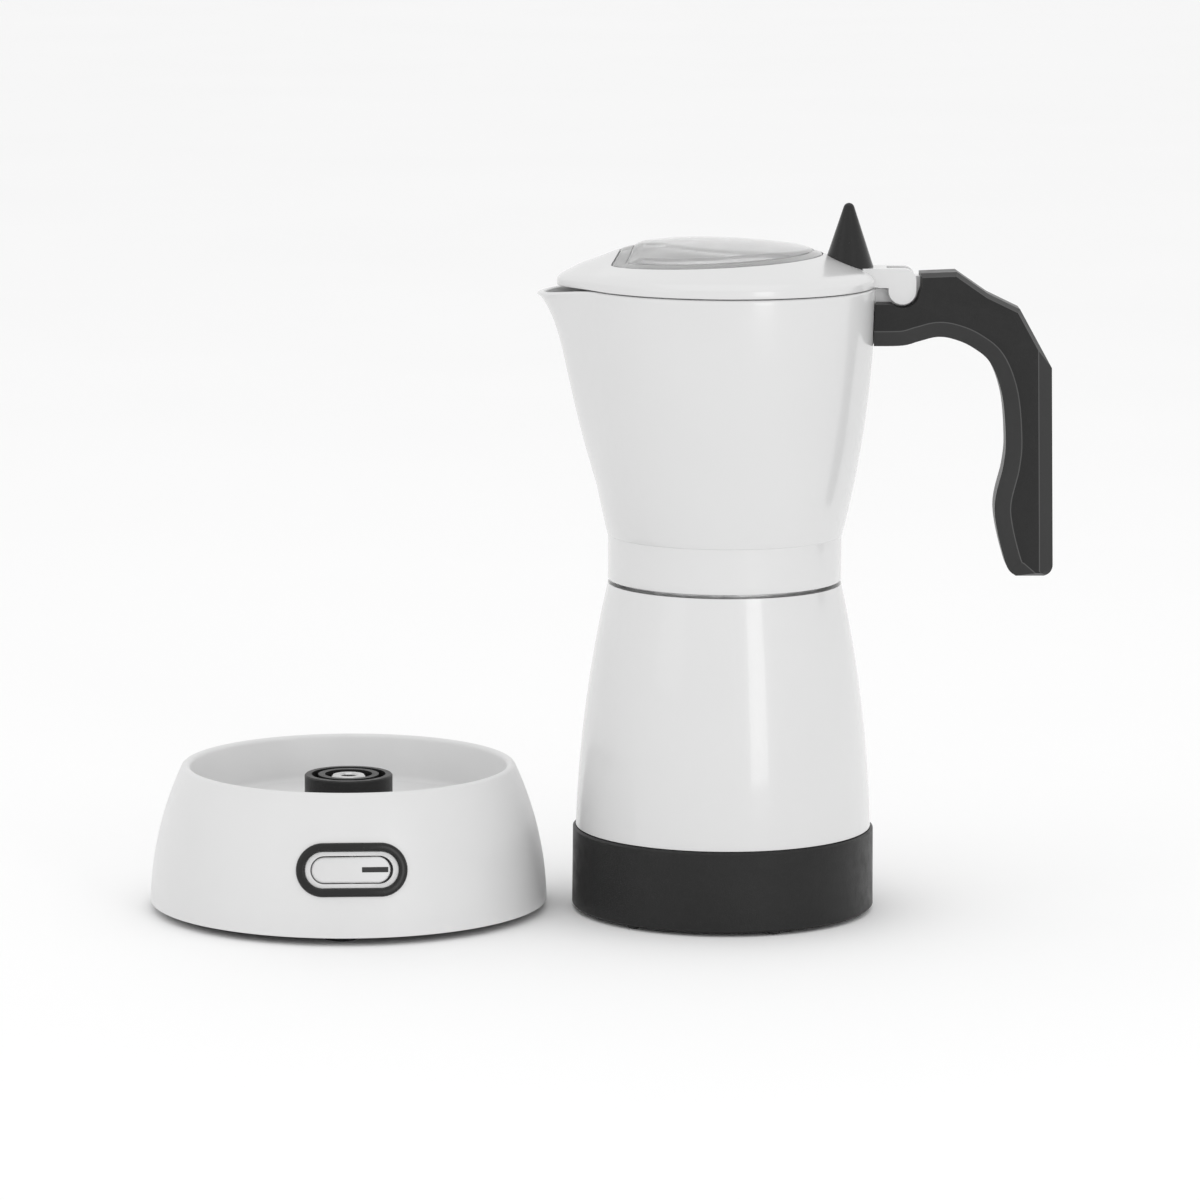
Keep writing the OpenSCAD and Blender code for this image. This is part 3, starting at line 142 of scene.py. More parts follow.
def new_loft(name, rings, corner):
    points = [point for ring in rings for point in ring]
    return new_piece(name, points, loft_faces(len(rings), len(rings[0]), True), corner)


def seat(piece, body, finish, slot, *replaced):
    piece.data.materials.clear()
    piece.data.materials.append(finish)
    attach(piece, body)
    if replaced:
        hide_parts(*replaced)
    print(piece.name, len(piece.data.polygons), "faces on", body)


def arc(x, z, r, start, end, steps):
    out = []
    for i in range(steps + 1):
        a = math.radians(start + (end - start) * i / steps)
        out.append((x + r * math.cos(a), z + r * math.sin(a)))
    return out


def cut_away(piece, tool):
    carve = piece.modifiers.new("carve", "BOOLEAN")
    carve.operation = "DIFFERENCE"
    carve.solver = "EXACT"
    carve.object = tool
    bpy.context.view_layer.update()
    ready = piece.evaluated_get(bpy.context.evaluated_depsgraph_get())
    carved = bpy.data.meshes.new_from_object(ready)
    piece.modifiers.clear()
    worn_out = piece.data
    piece.data = carved
    bpy.data.meshes.remove(worn_out)
    bpy.data.meshes.remove(tool.data)


def round_edges(piece, width, angle=30, segments=3):
    soft = piece.modifiers.new("rounded_edges", "BEVEL")
    soft.width = width * MM
    soft.segments = segments
    soft.limit_method = "ANGLE"
    soft.angle_limit = math.radians(angle)
    soft.use_clamp_overlap = True
    flat_sides = piece.modifiers.new("flat_sides", "WEIGHTED_NORMAL")
    flat_sides.keep_sharp = True


print("helpers ready")

# %% [markdown]
# ## Effects that several finishes share
# Paint, moulded plastic and metal all need the same few effects at different scales: slow drift of tone,
# fine grain, worn edges that also carry a painted edge highlight, and a trace of dust. Each is a node group
# with named inputs and outputs, built once. A group hands out colours, values and heights only; the shader
# itself stays in the material.

# %% Helpers for node groups
def new_group(name, inputs, outputs):
    tree = bpy.data.node_groups.new(name, "ShaderNodeTree")
    for label, kind, value in inputs:
        socket = tree.interface.new_socket(name=label, in_out="INPUT", socket_type=kind)
        socket.default_value = value
    for label, kind in outputs:
        tree.interface.new_socket(name=label, in_out="OUTPUT", socket_type=kind)
    return tree, tree.nodes.new("NodeGroupInput"), tree.nodes.new("NodeGroupOutput")


FLOAT, COLOR = "NodeSocketFloat", "NodeSocketColor"


def product(tree, first, second):
    times = tree.nodes.new("ShaderNodeMath")
    times.operation = "MULTIPLY"
    tree.links.new(first, times.inputs[0])
    tree.links.new(second, times.inputs[1])
    return times.outputs["Value"]


def tone_mix(tree, amount, first, second):
    mix = tree.nodes.new("ShaderNodeMix")
    mix.data_type = "RGBA"
    tree.links.new(amount, mix.inputs["Factor"])
    tree.links.new(first, mix.inputs["A"])
    tree.links.new(second, mix.inputs["B"])
    return mix.outputs["Result"]


NOISE_LOW, NOISE_HIGH = 0.3, 0.7


def value_span(tree, source, low, high):
    span = tree.nodes.new("ShaderNodeMapRange")
    tree.links.new(source, span.inputs["Value"])
    span.inputs["From Min"].default_value = NOISE_LOW
    span.inputs["From Max"].default_value = NOISE_HIGH
    for label, value in (("To Min", low), ("To Max", high)):
        if isinstance(value, float):
            span.inputs[label].default_value = value
        else:
            tree.links.new(value, span.inputs[label])
    return span.outputs["Result"]


def noise(tree, scale, detail=2.0, stretch=None):
    coords = tree.nodes.new("ShaderNodeTexCoord").outputs["Object"]
    if stretch:
        mapping = tree.nodes.new("ShaderNodeMapping")
        mapping.inputs["Scale"].default_value = stretch
        tree.links.new(coords, mapping.inputs["Vector"])
        coords = mapping.outputs["Vector"]
    cloud = tree.nodes.new("ShaderNodeTexNoise")
    cloud.inputs["Detail"].default_value = detail
    tree.links.new(coords, cloud.inputs["Vector"])
    if isinstance(scale, float):
        cloud.inputs["Scale"].default_value = scale
    else:
        tree.links.new(scale, cloud.inputs["Scale"])
    return cloud.outputs["Fac"]


print("group helpers ready")

# %% [markdown]
# ## Drift of tone and gloss
# No coat has one even colour. Slow noise moves the colour between a tone and a shade, and quick noise
# moves the roughness between two limits, so that reflections break up a little. A texture would do it
# too, but noise in object coordinates needs no unwrapping.

# %% Drift of tone and gloss
def make_tone_drift():
    tree, start, end = new_group(
        "tone_drift",
        [("Tone", COLOR, (0.8, 0.8, 0.8, 1)), ("Shade", COLOR, (0.76, 0.76, 0.75, 1)),
         ("Scale", FLOAT, 22.0), ("Gloss Low", FLOAT, 0.2), ("Gloss High", FLOAT, 0.3)],
        [("Color", COLOR), ("Roughness", FLOAT)],
    )
    slow = noise(tree, start.outputs["Scale"], 3.0)
    part = value_span(tree, slow, 0.0, 1.0)
    tree.links.new(tone_mix(tree, part, start.outputs["Tone"], start.outputs["Shade"]), end.inputs["Color"])
    quick_spots = noise(tree, 260.0, 4.0)
    gloss = value_span(tree, quick_spots, start.outputs["Gloss Low"], start.outputs["Gloss High"])
    tree.links.new(gloss, end.inputs["Roughness"])
    return tree


tone_drift = make_tone_drift()
print("made", tone_drift.name)

# %% [markdown]
# ## Fine grain
# Moulds are etched or blasted, which leaves grain with tiny pits. Noise gives the grain and the distance
# to the nearest Voronoi cell adds the pits. The group gives out a height, and each material turns it into
# a bump.

# %% Fine grain
def make_fine_grain():
    tree, start, end = new_group(
        "fine_grain", [("Scale", FLOAT, 3000.0), ("Pits", FLOAT, 0.3)], [("Height", FLOAT)]
    )
    grain = noise(tree, start.outputs["Scale"], 2.0)
    cells = tree.nodes.new("ShaderNodeTexVoronoi")
    tree.links.new(tree.nodes.new("ShaderNodeTexCoord").outputs["Object"], cells.inputs["Vector"])
    tree.links.new(start.outputs["Scale"], cells.inputs["Scale"])
    pits = tree.nodes.new("ShaderNodeMath")
    pits.operation = "MULTIPLY_ADD"
    tree.links.new(cells.outputs["Distance"], pits.inputs[0])
    tree.links.new(start.outputs["Pits"], pits.inputs[1])
    tree.links.new(grain, pits.inputs[2])
    tree.links.new(pits.outputs["Value"], end.inputs["Height"])
    return tree


fine_grain = make_fine_grain()
print("made", fine_grain.name)

# %% [markdown]
# ## Worn edges and painted edge highlights
# Hands and cloths rub the raised edges first, and the same lighter line also stands in as a painted highlight
# along the edges. Pointiness tells how sharply the surface bends outwards at each point of the mesh, and
# noise breaks the line up, so that it doesn't look drawn on.

# %% Worn edges and painted edge highlights
def make_wear_and_edge_highlight():
    tree, start, end = new_group(
        "wear_and_edge_highlight",
        [("Color", COLOR, (0.1, 0.1, 0.1, 1)), ("Worn", COLOR, (0.3, 0.3, 0.3, 1)), ("Amount", FLOAT, 0.5)],
        [("Color", COLOR)],
    )
    shape = tree.nodes.new("ShaderNodeNewGeometry")
    edge = tree.nodes.new("ShaderNodeMapRange")
    edge.inputs["From Min"].default_value = 0.52
    edge.inputs["From Max"].default_value = 0.62
    tree.links.new(shape.outputs["Pointiness"], edge.inputs["Value"])
    patchiness = value_span(tree, noise(tree, 420.0, 5.0), 0.2, 1.0)
    amount = product(tree, product(tree, edge.outputs["Result"], patchiness), start.outputs["Amount"])
    # Convex edges move to the lighter tone: partly wear, partly a painted edge highlight.
    wear_and_highlight_tone = tone_mix(tree, amount, start.outputs["Color"], start.outputs["Worn"])
    tree.links.new(wear_and_highlight_tone, end.inputs["Color"])
    return tree


wear_and_edge_highlight = make_wear_and_edge_highlight()
print("made", wear_and_edge_highlight.name)

# %% [markdown]
# ## Dust
# Dust settles on what faces up. The Z part of the surface normal says how far that is, and fine noise
# makes the film patchy.

# %% Dust
def make_dust_film():
    tree, start, end = new_group(
        "dust_film",
        [("Color", COLOR, (0.1, 0.1, 0.1, 1)), ("Dust", COLOR, (0.55, 0.54, 0.52, 1)),
         ("Amount", FLOAT, 0.06)],
        [("Color", COLOR)],
    )
    shape = tree.nodes.new("ShaderNodeNewGeometry")
    parts = tree.nodes.new("ShaderNodeSeparateXYZ")
    tree.links.new(shape.outputs["Normal"], parts.inputs["Vector"])
    level = tree.nodes.new("ShaderNodeMapRange")
    level.inputs["From Min"].default_value = -0.2
    tree.links.new(parts.outputs["Z"], level.inputs["Value"])
    specks = value_span(tree, noise(tree, 900.0, 6.0), 0.0, 1.0)
    amount = product(tree, product(tree, level.outputs["Result"], specks), start.outputs["Amount"])
    dusty = tone_mix(tree, amount, start.outputs["Color"], start.outputs["Dust"])
    tree.links.new(dusty, end.inputs["Color"])
    return tree


dust_film = make_dust_film()
print("node groups:", [g.name for g in bpy.data.node_groups])

# %% [markdown]
# ## Finishes
# The vessels are aluminium under white enamel, so they get a slow drift of tone, a clear coat and the
# faint ripple of sprayed paint. Mouldings get grain instead of a coat, and metals a bump of fine lines.
# Each finish places the groups above with its own values.

# %% Material helpers
def place_group(tree, group, **values):
    made = tree.nodes.new("ShaderNodeGroup")
    made.node_tree = group
    for label, value in values.items():
        made.inputs[label.replace("_", " ")].default_value = value
    return made


def new_finish(name):
    finish = bpy.data.materials.new(name)
    finish.use_nodes = True
    shader = finish.node_tree.nodes["Principled BSDF"]
    return finish, finish.node_tree, shader


def add_bump(tree, shader, height, strength, distance):
    bump = tree.nodes.new("ShaderNodeBump")
    bump.inputs["Strength"].default_value = strength
    bump.inputs["Distance"].default_value = distance
    tree.links.new(height, bump.inputs["Height"])
    tree.links.new(bump.outputs["Normal"], shader.inputs["Normal"])


def grey(value, warm=0.0):
    return (value + warm, value, value - warm, 1.0)


def add_drift(tree, tone, shade, scale, gloss):
    low, high = gloss
    return place_group(
        tree, tone_drift, Tone=tone, Shade=shade, Scale=scale, Gloss_Low=low, Gloss_High=high
    )


def moulded(name, tone, shade, gloss, grain, bump, wear_and_highlight_tone, wear_and_highlight_amount, dust):
    finish, tree, shader = new_finish(name)
    drift = add_drift(tree, tone, shade, 30.0, gloss)
    # Edges go lighter: partly wear, partly a painted edge highlight.
    wear_highlight_group = place_group(tree, wear_and_edge_highlight, Worn=wear_and_highlight_tone, Amount=wear_and_highlight_amount)
    dust_group = place_group(tree, dust_film, Amount=dust)
    grain_group = place_group(tree, fine_grain, Scale=grain, Pits=0.5)
    tree.links.new(drift.outputs["Color"], wear_highlight_group.inputs["Color"])
    tree.links.new(wear_highlight_group.outputs["Color"], dust_group.inputs["Color"])
    tree.links.new(dust_group.outputs["Color"], shader.inputs["Base Color"])
    tree.links.new(drift.outputs["Roughness"], shader.inputs["Roughness"])
    add_bump(tree, shader, grain_group.outputs["Height"], bump, 0.0002)
    return finish


def metal(name, tone, shade, gloss, stretch, bump):
    finish, tree, shader = new_finish(name)
    drift = add_drift(tree, tone, shade, 60.0, gloss)
    # Edges go to the lighter tone: partly wear, partly a painted edge highlight.
    wear_highlight_group = place_group(tree, wear_and_edge_highlight, Worn=tone, Amount=0.6)
    tree.links.new(drift.outputs["Color"], wear_highlight_group.inputs["Color"])
    tree.links.new(wear_highlight_group.outputs["Color"], shader.inputs["Base Color"])
    tree.links.new(drift.outputs["Roughness"], shader.inputs["Roughness"])
    shader.inputs["Metallic"].default_value = 1.0
    add_bump(tree, shader, noise(tree, 400.0, 3.0, stretch), bump, 0.0001)
    return finish


print("material helpers ready")

# %% White enamel
white_enamel, tree, shader = new_finish("white_enamel")
drift = add_drift(tree, grey(0.70), grey(0.68), scale=14.0, gloss=(0.2, 0.27))
ripple = place_group(tree, fine_grain, Scale=520.0, Pits=0.0)
tree.links.new(drift.outputs["Color"], shader.inputs["Base Color"])
tree.links.new(drift.outputs["Roughness"], shader.inputs["Roughness"])
shader.inputs["Coat Weight"].default_value = 0.5
shader.inputs["Coat Roughness"].default_value = 0.05
add_bump(tree, shader, ripple.outputs["Height"], 0.03, 0.0003)
print("made", white_enamel.name)

# %% [markdown]
# ## Moulded parts
# All black parts are one kind of plastic in four states: grained where the mould was blasted, smooth on the
# bevels and painted a little lighter there for the light they catch, a painted highlight on a narrow facet
# along each handle edge, and glossy on the knob and the bezel. They share a low specular level, which keeps
# the blacks deep in a bright studio.

# %% Moulded parts
white_moulding = moulded(
    "white_moulding", grey(0.71), grey(0.69), gloss=(0.3, 0.4), grain=2200.0, bump=0.04,
    wear_and_highlight_tone=grey(0.76), wear_and_highlight_amount=0.2, dust=0.015,
)
black_moulding = moulded(
    "black_moulding", grey(0.008), grey(0.011), gloss=(0.38, 0.5), grain=2600.0, bump=0.3,
    wear_and_highlight_tone=grey(0.05), wear_and_highlight_amount=0.06, dust=0.015,
)
# The bevels' black, painted lighter than the flat sides for the light that falls on them.
bevel_painted_lighter = moulded(
    "bevel_painted_lighter", grey(0.026), grey(0.03), gloss=(0.34, 0.42), grain=3600.0, bump=0.05,
    wear_and_highlight_tone=grey(0.05), wear_and_highlight_amount=0.06, dust=0.01,
)
# A lighter black for the narrow facet along each handle edge: a painted highlight.
painted_edge_highlight = moulded(
    "painted_edge_highlight", grey(0.07), grey(0.085), gloss=(0.3, 0.4), grain=3600.0, bump=0.05,
    wear_and_highlight_tone=grey(0.09), wear_and_highlight_amount=0.06, dust=0.01,
)
black_gloss = moulded(
    "black_gloss", grey(0.011), grey(0.014), gloss=(0.2, 0.3), grain=3600.0, bump=0.06,
    wear_and_highlight_tone=grey(0.05), wear_and_highlight_amount=0.06, dust=0.01,
)
for black in (black_moulding, bevel_painted_lighter, painted_edge_highlight, black_gloss):
    black.node_tree.nodes["Principled BSDF"].inputs["Specular IOR Level"].default_value = 0.3
foot_rubber = moulded(
    "foot_rubber", grey(0.02), grey(0.03), gloss=(0.65, 0.8), grain=1800.0, bump=0.5,
    wear_and_highlight_tone=grey(0.05), wear_and_highlight_amount=0.4, dust=0.08,
)
seal_silicone = moulded(
    "seal_silicone", grey(0.74, 0.02), grey(0.68, 0.02), gloss=(0.45, 0.55), grain=1500.0, bump=0.15,
    wear_and_highlight_tone=grey(0.8), wear_and_highlight_amount=0.2, dust=0.02,
)
print_ink = moulded(
    "print_ink", grey(0.012), grey(0.02), gloss=(0.4, 0.5), grain=4000.0, bump=0.05,
    wear_and_highlight_tone=grey(0.04), wear_and_highlight_amount=0.2, dust=0.01,
)
print("finishes so far:", len(bpy.data.materials))

# %% [markdown]
# ## Metals and the clear window
# Turning and spinning leave fine lines, so the bump's noise is stretched along one axis. The window is a
# clear plastic that has gone slightly milky: it lets most light through and keeps a share of its own pale
# colour.

# %% Metals and the clear plastic
spun_aluminium = metal(
    "spun_aluminium", grey(0.72), grey(0.64), gloss=(0.28, 0.42), stretch=(1.0, 1.0, 14.0), bump=0.25
)
plated_steel = metal(
    "plated_steel", grey(0.6), grey(0.52), gloss=(0.22, 0.36), stretch=(6.0, 6.0, 1.0), bump=0.15
)
turned_brass = metal(
    "turned_brass", (0.72, 0.5, 0.2, 1), (0.6, 0.4, 0.15, 1), gloss=(0.2, 0.34), stretch=(1.0, 12.0, 1.0),
    bump=0.2,
)

clear_cap, tree, shader = new_finish("clear_cap")
haze = add_drift(tree, grey(0.84), grey(0.81), scale=18.0, gloss=(0.04, 0.09))
tree.links.new(haze.outputs["Color"], shader.inputs["Base Color"])
tree.links.new(haze.outputs["Roughness"], shader.inputs["Roughness"])
shader.inputs["Transmission Weight"].default_value = 0.7
shader.inputs["IOR"].default_value = 1.49
flow = place_group(tree, fine_grain, Scale=90.0, Pits=0.0)
add_bump(tree, shader, flow.outputs["Height"], 0.02, 0.0004)
print("finishes:", sorted(m.name for m in bpy.data.materials))

# %% [markdown]
# ## CAD solids that keep their shape
# A turned or bored solid is already right, so only its shading and finish change. The import splits every
# edge; a weld joins the points again, smooth faces hide the facets of the curves, and an edge split keeps
# real corners crisp. Both are modifiers, so the points and faces of the CAD mesh stay as they came.

# %% Finish the carried-over solids
def carry_over(name, finish, corner=30):
    solid = nodes[name]
    mesh = solid.data
    if "custom_normal" in mesh.attributes:
        mesh.attributes.remove(mesh.attributes["custom_normal"])
    mesh.polygons.foreach_set("use_smooth", [True] * len(mesh.polygons))
    mesh.materials.clear()
    mesh.materials.append(finish)
    weld = solid.modifiers.new("weld", "WELD")
    weld.merge_threshold = 2e-6
    crisp = solid.modifiers.new("crisp_corners", "EDGE_SPLIT")
    crisp.split_angle = math.radians(corner)
    return solid


finish_of = {
    white_moulding: ("stand_shell", "switch_case"),
    black_moulding: ("stand_base", "stand_connector", "heater_housing", "pot_socket"),
    black_gloss: ("lid_knob",),
    foot_rubber: ("stand_feet", "housing_studs", "cord_gland"),
    plated_steel: ("stand_screws", "connector_screws", "earth_sleeve", "housing_screws", "socket_screws",
                   "heating_element", "thermostat", "valve_stem", "filter_plate",
                   "handle_screw", "hinge_pin", "knob_screw"),
    turned_brass: ("live_contact", "neutral_contact", "socket_contacts", "valve_body", "valve_cap"),
    spun_aluminium: ("filter_funnel", "column"),
    seal_silicone: ("gasket",),
    white_enamel: ("boiler",),
}
for finish, names in finish_of.items():
    for name in names:
        carry_over(name, finish)
print("carried over:", sum(len(names) for names in finish_of.values()))

# %% [markdown]
# ## Bare metal inside the boiler
# Only the outside of the boiler is painted. Its neck, its thread and the water room stay bare aluminium,
# and the dark seam under the jug comes from that bare neck in its deep gap. A second slot on the same
# mesh does it.

# %% Bare metal faces of the boiler
widest_r, widest_drop = 46.8, 12.8
boss_half, boss_from_y, skin_depth = 8.6, 38, 0.6


def boiler_skin(z):
    widest_z = boiler_base - widest_drop
    rise, taper = boiler_top - widest_z, widest_r - waist_r
    bow = (rise ** 2 + taper ** 2) / (2 * taper)
    return widest_r - bow + math.sqrt(bow ** 2 - (z - widest_z) ** 2)


boiler_mesh = nodes["boiler"].data
boiler_mesh.materials.append(spun_aluminium)
bare = 0
for face in boiler_mesh.polygons:
    spot = face.center / MM
    radius = math.hypot(spot.x - pot_x, spot.y)
    valve_boss = abs(spot.x - pot_x) < boss_half and spot.y > boss_from_y
    inside = boiler_base - 0.1 < spot.z < boiler_top and radius < boiler_skin(spot.z) - skin_depth
    neck_or_foot = spot.z > boiler_top + 0.05 or spot.z < boiler_base - 0.05
    if (inside or neck_or_foot) and not valve_boss:
        face.material_index = 1
        bare += 1
print("bare faces of the boiler:", bare, "of", len(boiler_mesh.polygons))

# %% [markdown]
# ## The jug
# The jug is a cast vessel: a straight band with the thread inside, a wall that flares in one slow curve,
# and a spout drawn out of that wall. One closed loft makes it all. For each direction round the pot the
# wall's radius is the flare plus a share of the spout, which is strong straight ahead and fades out to
# both sides.

# %% Directions round the pot
SPOUT_ANGLE, SPOUT_STEPS, WALL_STEPS = 32.0, 72, 120
turns = [SPOUT_ANGLE * (2 * i / SPOUT_STEPS - 1) for i in range(SPOUT_STEPS)]
turns += [SPOUT_ANGLE + (360 - 2 * SPOUT_ANGLE) * i / WALL_STEPS for i in range(WALL_STEPS)]


def spout_lean(turn):
    if abs(turn) >= SPOUT_ANGLE:
        return 0.0
    return ((1 + math.cos(math.pi * turn / SPOUT_ANGLE)) / 2) ** 1.6


def round_pot(radius, turn, z):
    a = math.radians(turn)
    return (pot_x - radius * math.cos(a), -radius * math.sin(a), z)


print("directions:", len(turns))

# %% [markdown]
# ## Wall of the jug
# The rings run up the outside, over the rounded lip, down the inside and across the floor, and end in the
# room below it that takes the boiler's neck.

# %% Jug wall
spout_run, spout_swell, spout_lip, spout_dip = 62.4, 7.4, 6.8, 1.8
band_step, flare_over = 0.25, 0.6


def flare(z):
    top = jug_rim + flare_over
    drop = rim_r - waist_r - band_step
    bow = ((top - band_top) ** 2 + drop ** 2) / (2 * drop)
    return rim_r - bow + math.sqrt(bow ** 2 - (top - z) ** 2)


def jug_skin(z, turn):
    rise = max(0.0, (z - (jug_rim - spout_run)) / spout_run)
    return flare(z) + (spout_swell * rise + spout_lip * rise ** 8) * spout_lean(turn)


def jug_ring(share, inward, drop=0.0):
    ring = []
    for turn in turns:
        z = band_top + (jug_rim - spout_dip * spout_lean(turn) - band_top) * share
        ring.append(round_pot(jug_skin(z, turn) - inward, turn, z - drop))
    return ring


def level_ring(radius, z):
    return [round_pot(radius, turn, z) for turn in turns]


WALL, LIP, FLOOR_FILLET, EDGE_SOFT = 2.4, 0.8, 2.2, 0.5
jug_floor, jug_ceiling, column_bore, thread_bore = 121.9, 118.9, 5.55, 32.3
rings = [level_ring(waist_r - EDGE_SOFT, jug_base), level_ring(waist_r - 0.15, jug_base + 0.15),
         level_ring(waist_r, jug_base + EDGE_SOFT)]
rings += [level_ring(waist_r, jug_base + EDGE_SOFT + 13.6 * k / 6) for k in range(1, 7)]
rings += [level_ring(waist_r, band_top - 0.3), level_ring(waist_r + 0.2, band_top - 0.1)]
rings += [jug_ring(i / 46, 0.0) for i in range(46)]
lip_arc = arc(0, 0, LIP, 0, 90, 4)
rings += [jug_ring(1.0, LIP - x, LIP - z) for x, z in lip_arc]
rings += [jug_ring(1.0, WALL - LIP + x, LIP - z) for x, z in reversed(lip_arc)]
rings += [jug_ring(i / 30, WALL) for i in range(29, 1, -1)]
floor_r = flare(jug_floor) - WALL - FLOOR_FILLET
fillet = arc(0, 0, FLOOR_FILLET, -10, -90, 5)
rings += [level_ring(floor_r + x, jug_floor + FLOOR_FILLET + z) for x, z in fillet]
rings += [level_ring(20.0, jug_floor), level_ring(column_bore, jug_floor)]
rings += [level_ring(column_bore, jug_ceiling), level_ring(thread_bore, jug_ceiling)]
rings += [level_ring(thread_bore, jug_base + EDGE_SOFT), level_ring(thread_bore + 0.5, jug_base)]
jug_vessel = new_loft("jug_vessel", rings, 40)
seat(jug_vessel, "jug", white_enamel, "white_paint", "jug")

# %% [markdown]
# ## The hinge arm
# A flat arm cast onto the jug's rear carries two things: its round ear holds the hinge pin, and its tang
# goes into a slot of the handle. Drawn as a side view and given a thickness, it is one plate with a bored
# ear.

# %% Hinge arm on the jug
def side_plate(name, place, outline, low_y, high_y, corner=25):
    count = len(outline)
    points = [(place.x + x, y, place.z + z) for y in (low_y, high_y) for x, z in outline]
    faces = [tuple(range(count)), tuple(range(2 * count - 1, count - 1, -1))]
    for i in range(count):
        j = (i + 1) % count
        faces.append((i, i + count, j + count, j))
    return new_piece(name, points, faces, corner)


def pin_tool(radius, low_y, high_y):
    return side_plate("pin_tool", pivot, arc(0, 0, radius, 0, 360 - 7.5, 47), low_y, high_y)


arm_foot, arm_back, arm_top, arm_shoulder, arm_half = -9.5, 6.2, 0.2, 4.2, 3.1
tang_end, tang_low, tang_high = 11.4, -12.2, -6.7
ear_r, ear_bore = 3.95, 1.53
arm_outline = [(arm_foot, tang_low), (tang_end, tang_low), (tang_end, tang_high), (arm_back, tang_high)]
arm_outline += [(arm_back, arm_shoulder)] + arc(0, pin_rise, ear_r, 34, 180, 24)
arm_outline += [(-ear_r, arm_top), (arm_foot, arm_top)]
hinge_arm = side_plate("hinge_arm", mount, arm_outline, -arm_half, arm_half)
cut_away(hinge_arm, pin_tool(ear_bore, -9.0, 9.0))
round_edges(hinge_arm, 0.25)
seat(hinge_arm, "jug", white_enamel, "white_paint")

# %% [markdown]
# ## The lid
# From outside the lid is a low cone with a rounded shoulder. Its rim follows the spout with a nose, and a
# soft ridge runs up from there. Inside it is hollow, with a ledge that carries the window. One closed
# loft makes it: the section runs over the shoulder, up the cone to the window, round the ledge and back
# along the underside.

# %% Section of the lid
nose, cone_slope, shoulder_h, shoulder_r, shoulder_sink = 6.4, 0.36, 1.7, 1.3, 0.6
cone_from, crown_r, skirt_r, lid_wall = 8, 12, 43.5, 2.6


def lid_outline(turn):
    return rim_r + nose * spout_lean(turn)


def lid_rise(inward):
    return cone_slope * inward + shoulder_h * (1 - math.exp(-inward / shoulder_r)) - shoulder_sink


crown_z = lid_edge + lid_rise(rim_r - crown_r)
under_z = lid_edge + lid_rise(rim_r - skirt_r) - lid_wall


def hump(inward, middle, width):
    return math.exp(-((inward - middle) / width) ** 2)


def nose_ridge(inward, turn):
    """A swell on the way up to the window and a dip behind the nose, strongest straight ahead."""
    return (0.95 * hump(inward, 21.5, 8) - 0.62 * hump(inward, 3, 3.5)) * math.sqrt(spout_lean(turn))


def lid_top(x, y):
    radius = math.hypot(x - pot_x, y)
    turn = math.degrees(math.atan2(-y, pot_x - x))
    inward = lid_outline(turn) - radius
    if inward < cone_from:
        z = lid_edge + lid_rise(inward)
    else:
        foot_z = lid_edge + lid_rise(cone_from)
        z = foot_z + (crown_z - foot_z) * (inward - cone_from) / (lid_outline(turn) - cone_from - crown_r)
    return z + nose_ridge(inward, turn)


def lid_under(x, y):
    radius = math.hypot(x - pot_x, y)
    return under_z + (crown_z - 2 - under_z) * (skirt_r - radius) / (skirt_r - crown_r)


heights = [lid_top(*round_pot(38, turn, 0)[:2]) for turn in (0, 90, 180)]
print("lid's top at the nose, side and hinge:", [round(z, 2) for z in heights])

# %% [markdown]
# ## Plan of the window
# Lid and window share this outline: a circle that is cut back towards the spout by a hollow curve. A
# level of 0 is the outer edge and a level of 1 the edge of the raised top. A soft minimum joins circle
# and cut with a small round.

# %% Plan of the window
window_x = pot_x - 4.4
edge_r, raised_r = 34.5, 28.8
edge_front, raised_front = 28.8, 20.4
HOLLOW_ROUND = 0.02


def soft_min(a, b, blend):
    h = min(1.0, max(0.0, 0.5 + 0.5 * (b - a) / blend))
    return b * (1 - h) + a * h - blend * h * (1 - h)


def window_ring(level, height, scale=1.0):
    ring = []
    for turn in turns:
        a = math.radians(turn)
        reach = edge_r + (raised_r - edge_r) * level
        front = edge_front + (raised_front - edge_front) * level
        hollow = math.sqrt(math.sin(a) ** 2 + HOLLOW_ROUND) - math.sqrt(HOLLOW_ROUND)
        slant = math.cos(a) - (0.33 - 0.17 * level) * hollow
        if slant > 0.3:
            reach = soft_min(reach, front / slant, 0.8)
        x = window_x - scale * reach * math.cos(a)
        y = -scale * reach * math.sin(a)
        ring.append((x, y, height(x, y)))
    return ring


window_edge_z = [p[2] for p in window_ring(0.0, lid_top)]


def seat_ring(level, drop):
    return [(x, y, z - drop) for (x, y, _), z in zip(window_ring(level, lid_top), window_edge_z)]


print("window's edge lies between z", round(min(window_edge_z), 2), "and", round(max(window_edge_z), 2))

# %% [markdown]
# ## Shell of the lid
# Such a lid is pressed or cast in one piece. The rings run over the rim and its shoulder to the window's
# edge, down into the ledge that carries the window, and back along the underside to the skirt.

# %% Lid shell
ledge_top, ledge_under, ledge_in = 2.6, 4.0, 0.55


def rim_ring(inward, z=None):
    ring = []
    for turn in turns:
        x, y, _ = round_pot(lid_outline(turn) - inward, turn, 0)
        ring.append((x, y, lid_top(x, y) if z is None else z))
    return ring


def cone_ring(share):
    ring = []
    for outer, inner in zip(rim_ring(cone_from), window_ring(0.0, lid_top)):
        x = outer[0] + (inner[0] - outer[0]) * share
        y = outer[1] + (inner[1] - outer[1]) * share
        ring.append((x, y, lid_top(x, y)))
    return ring


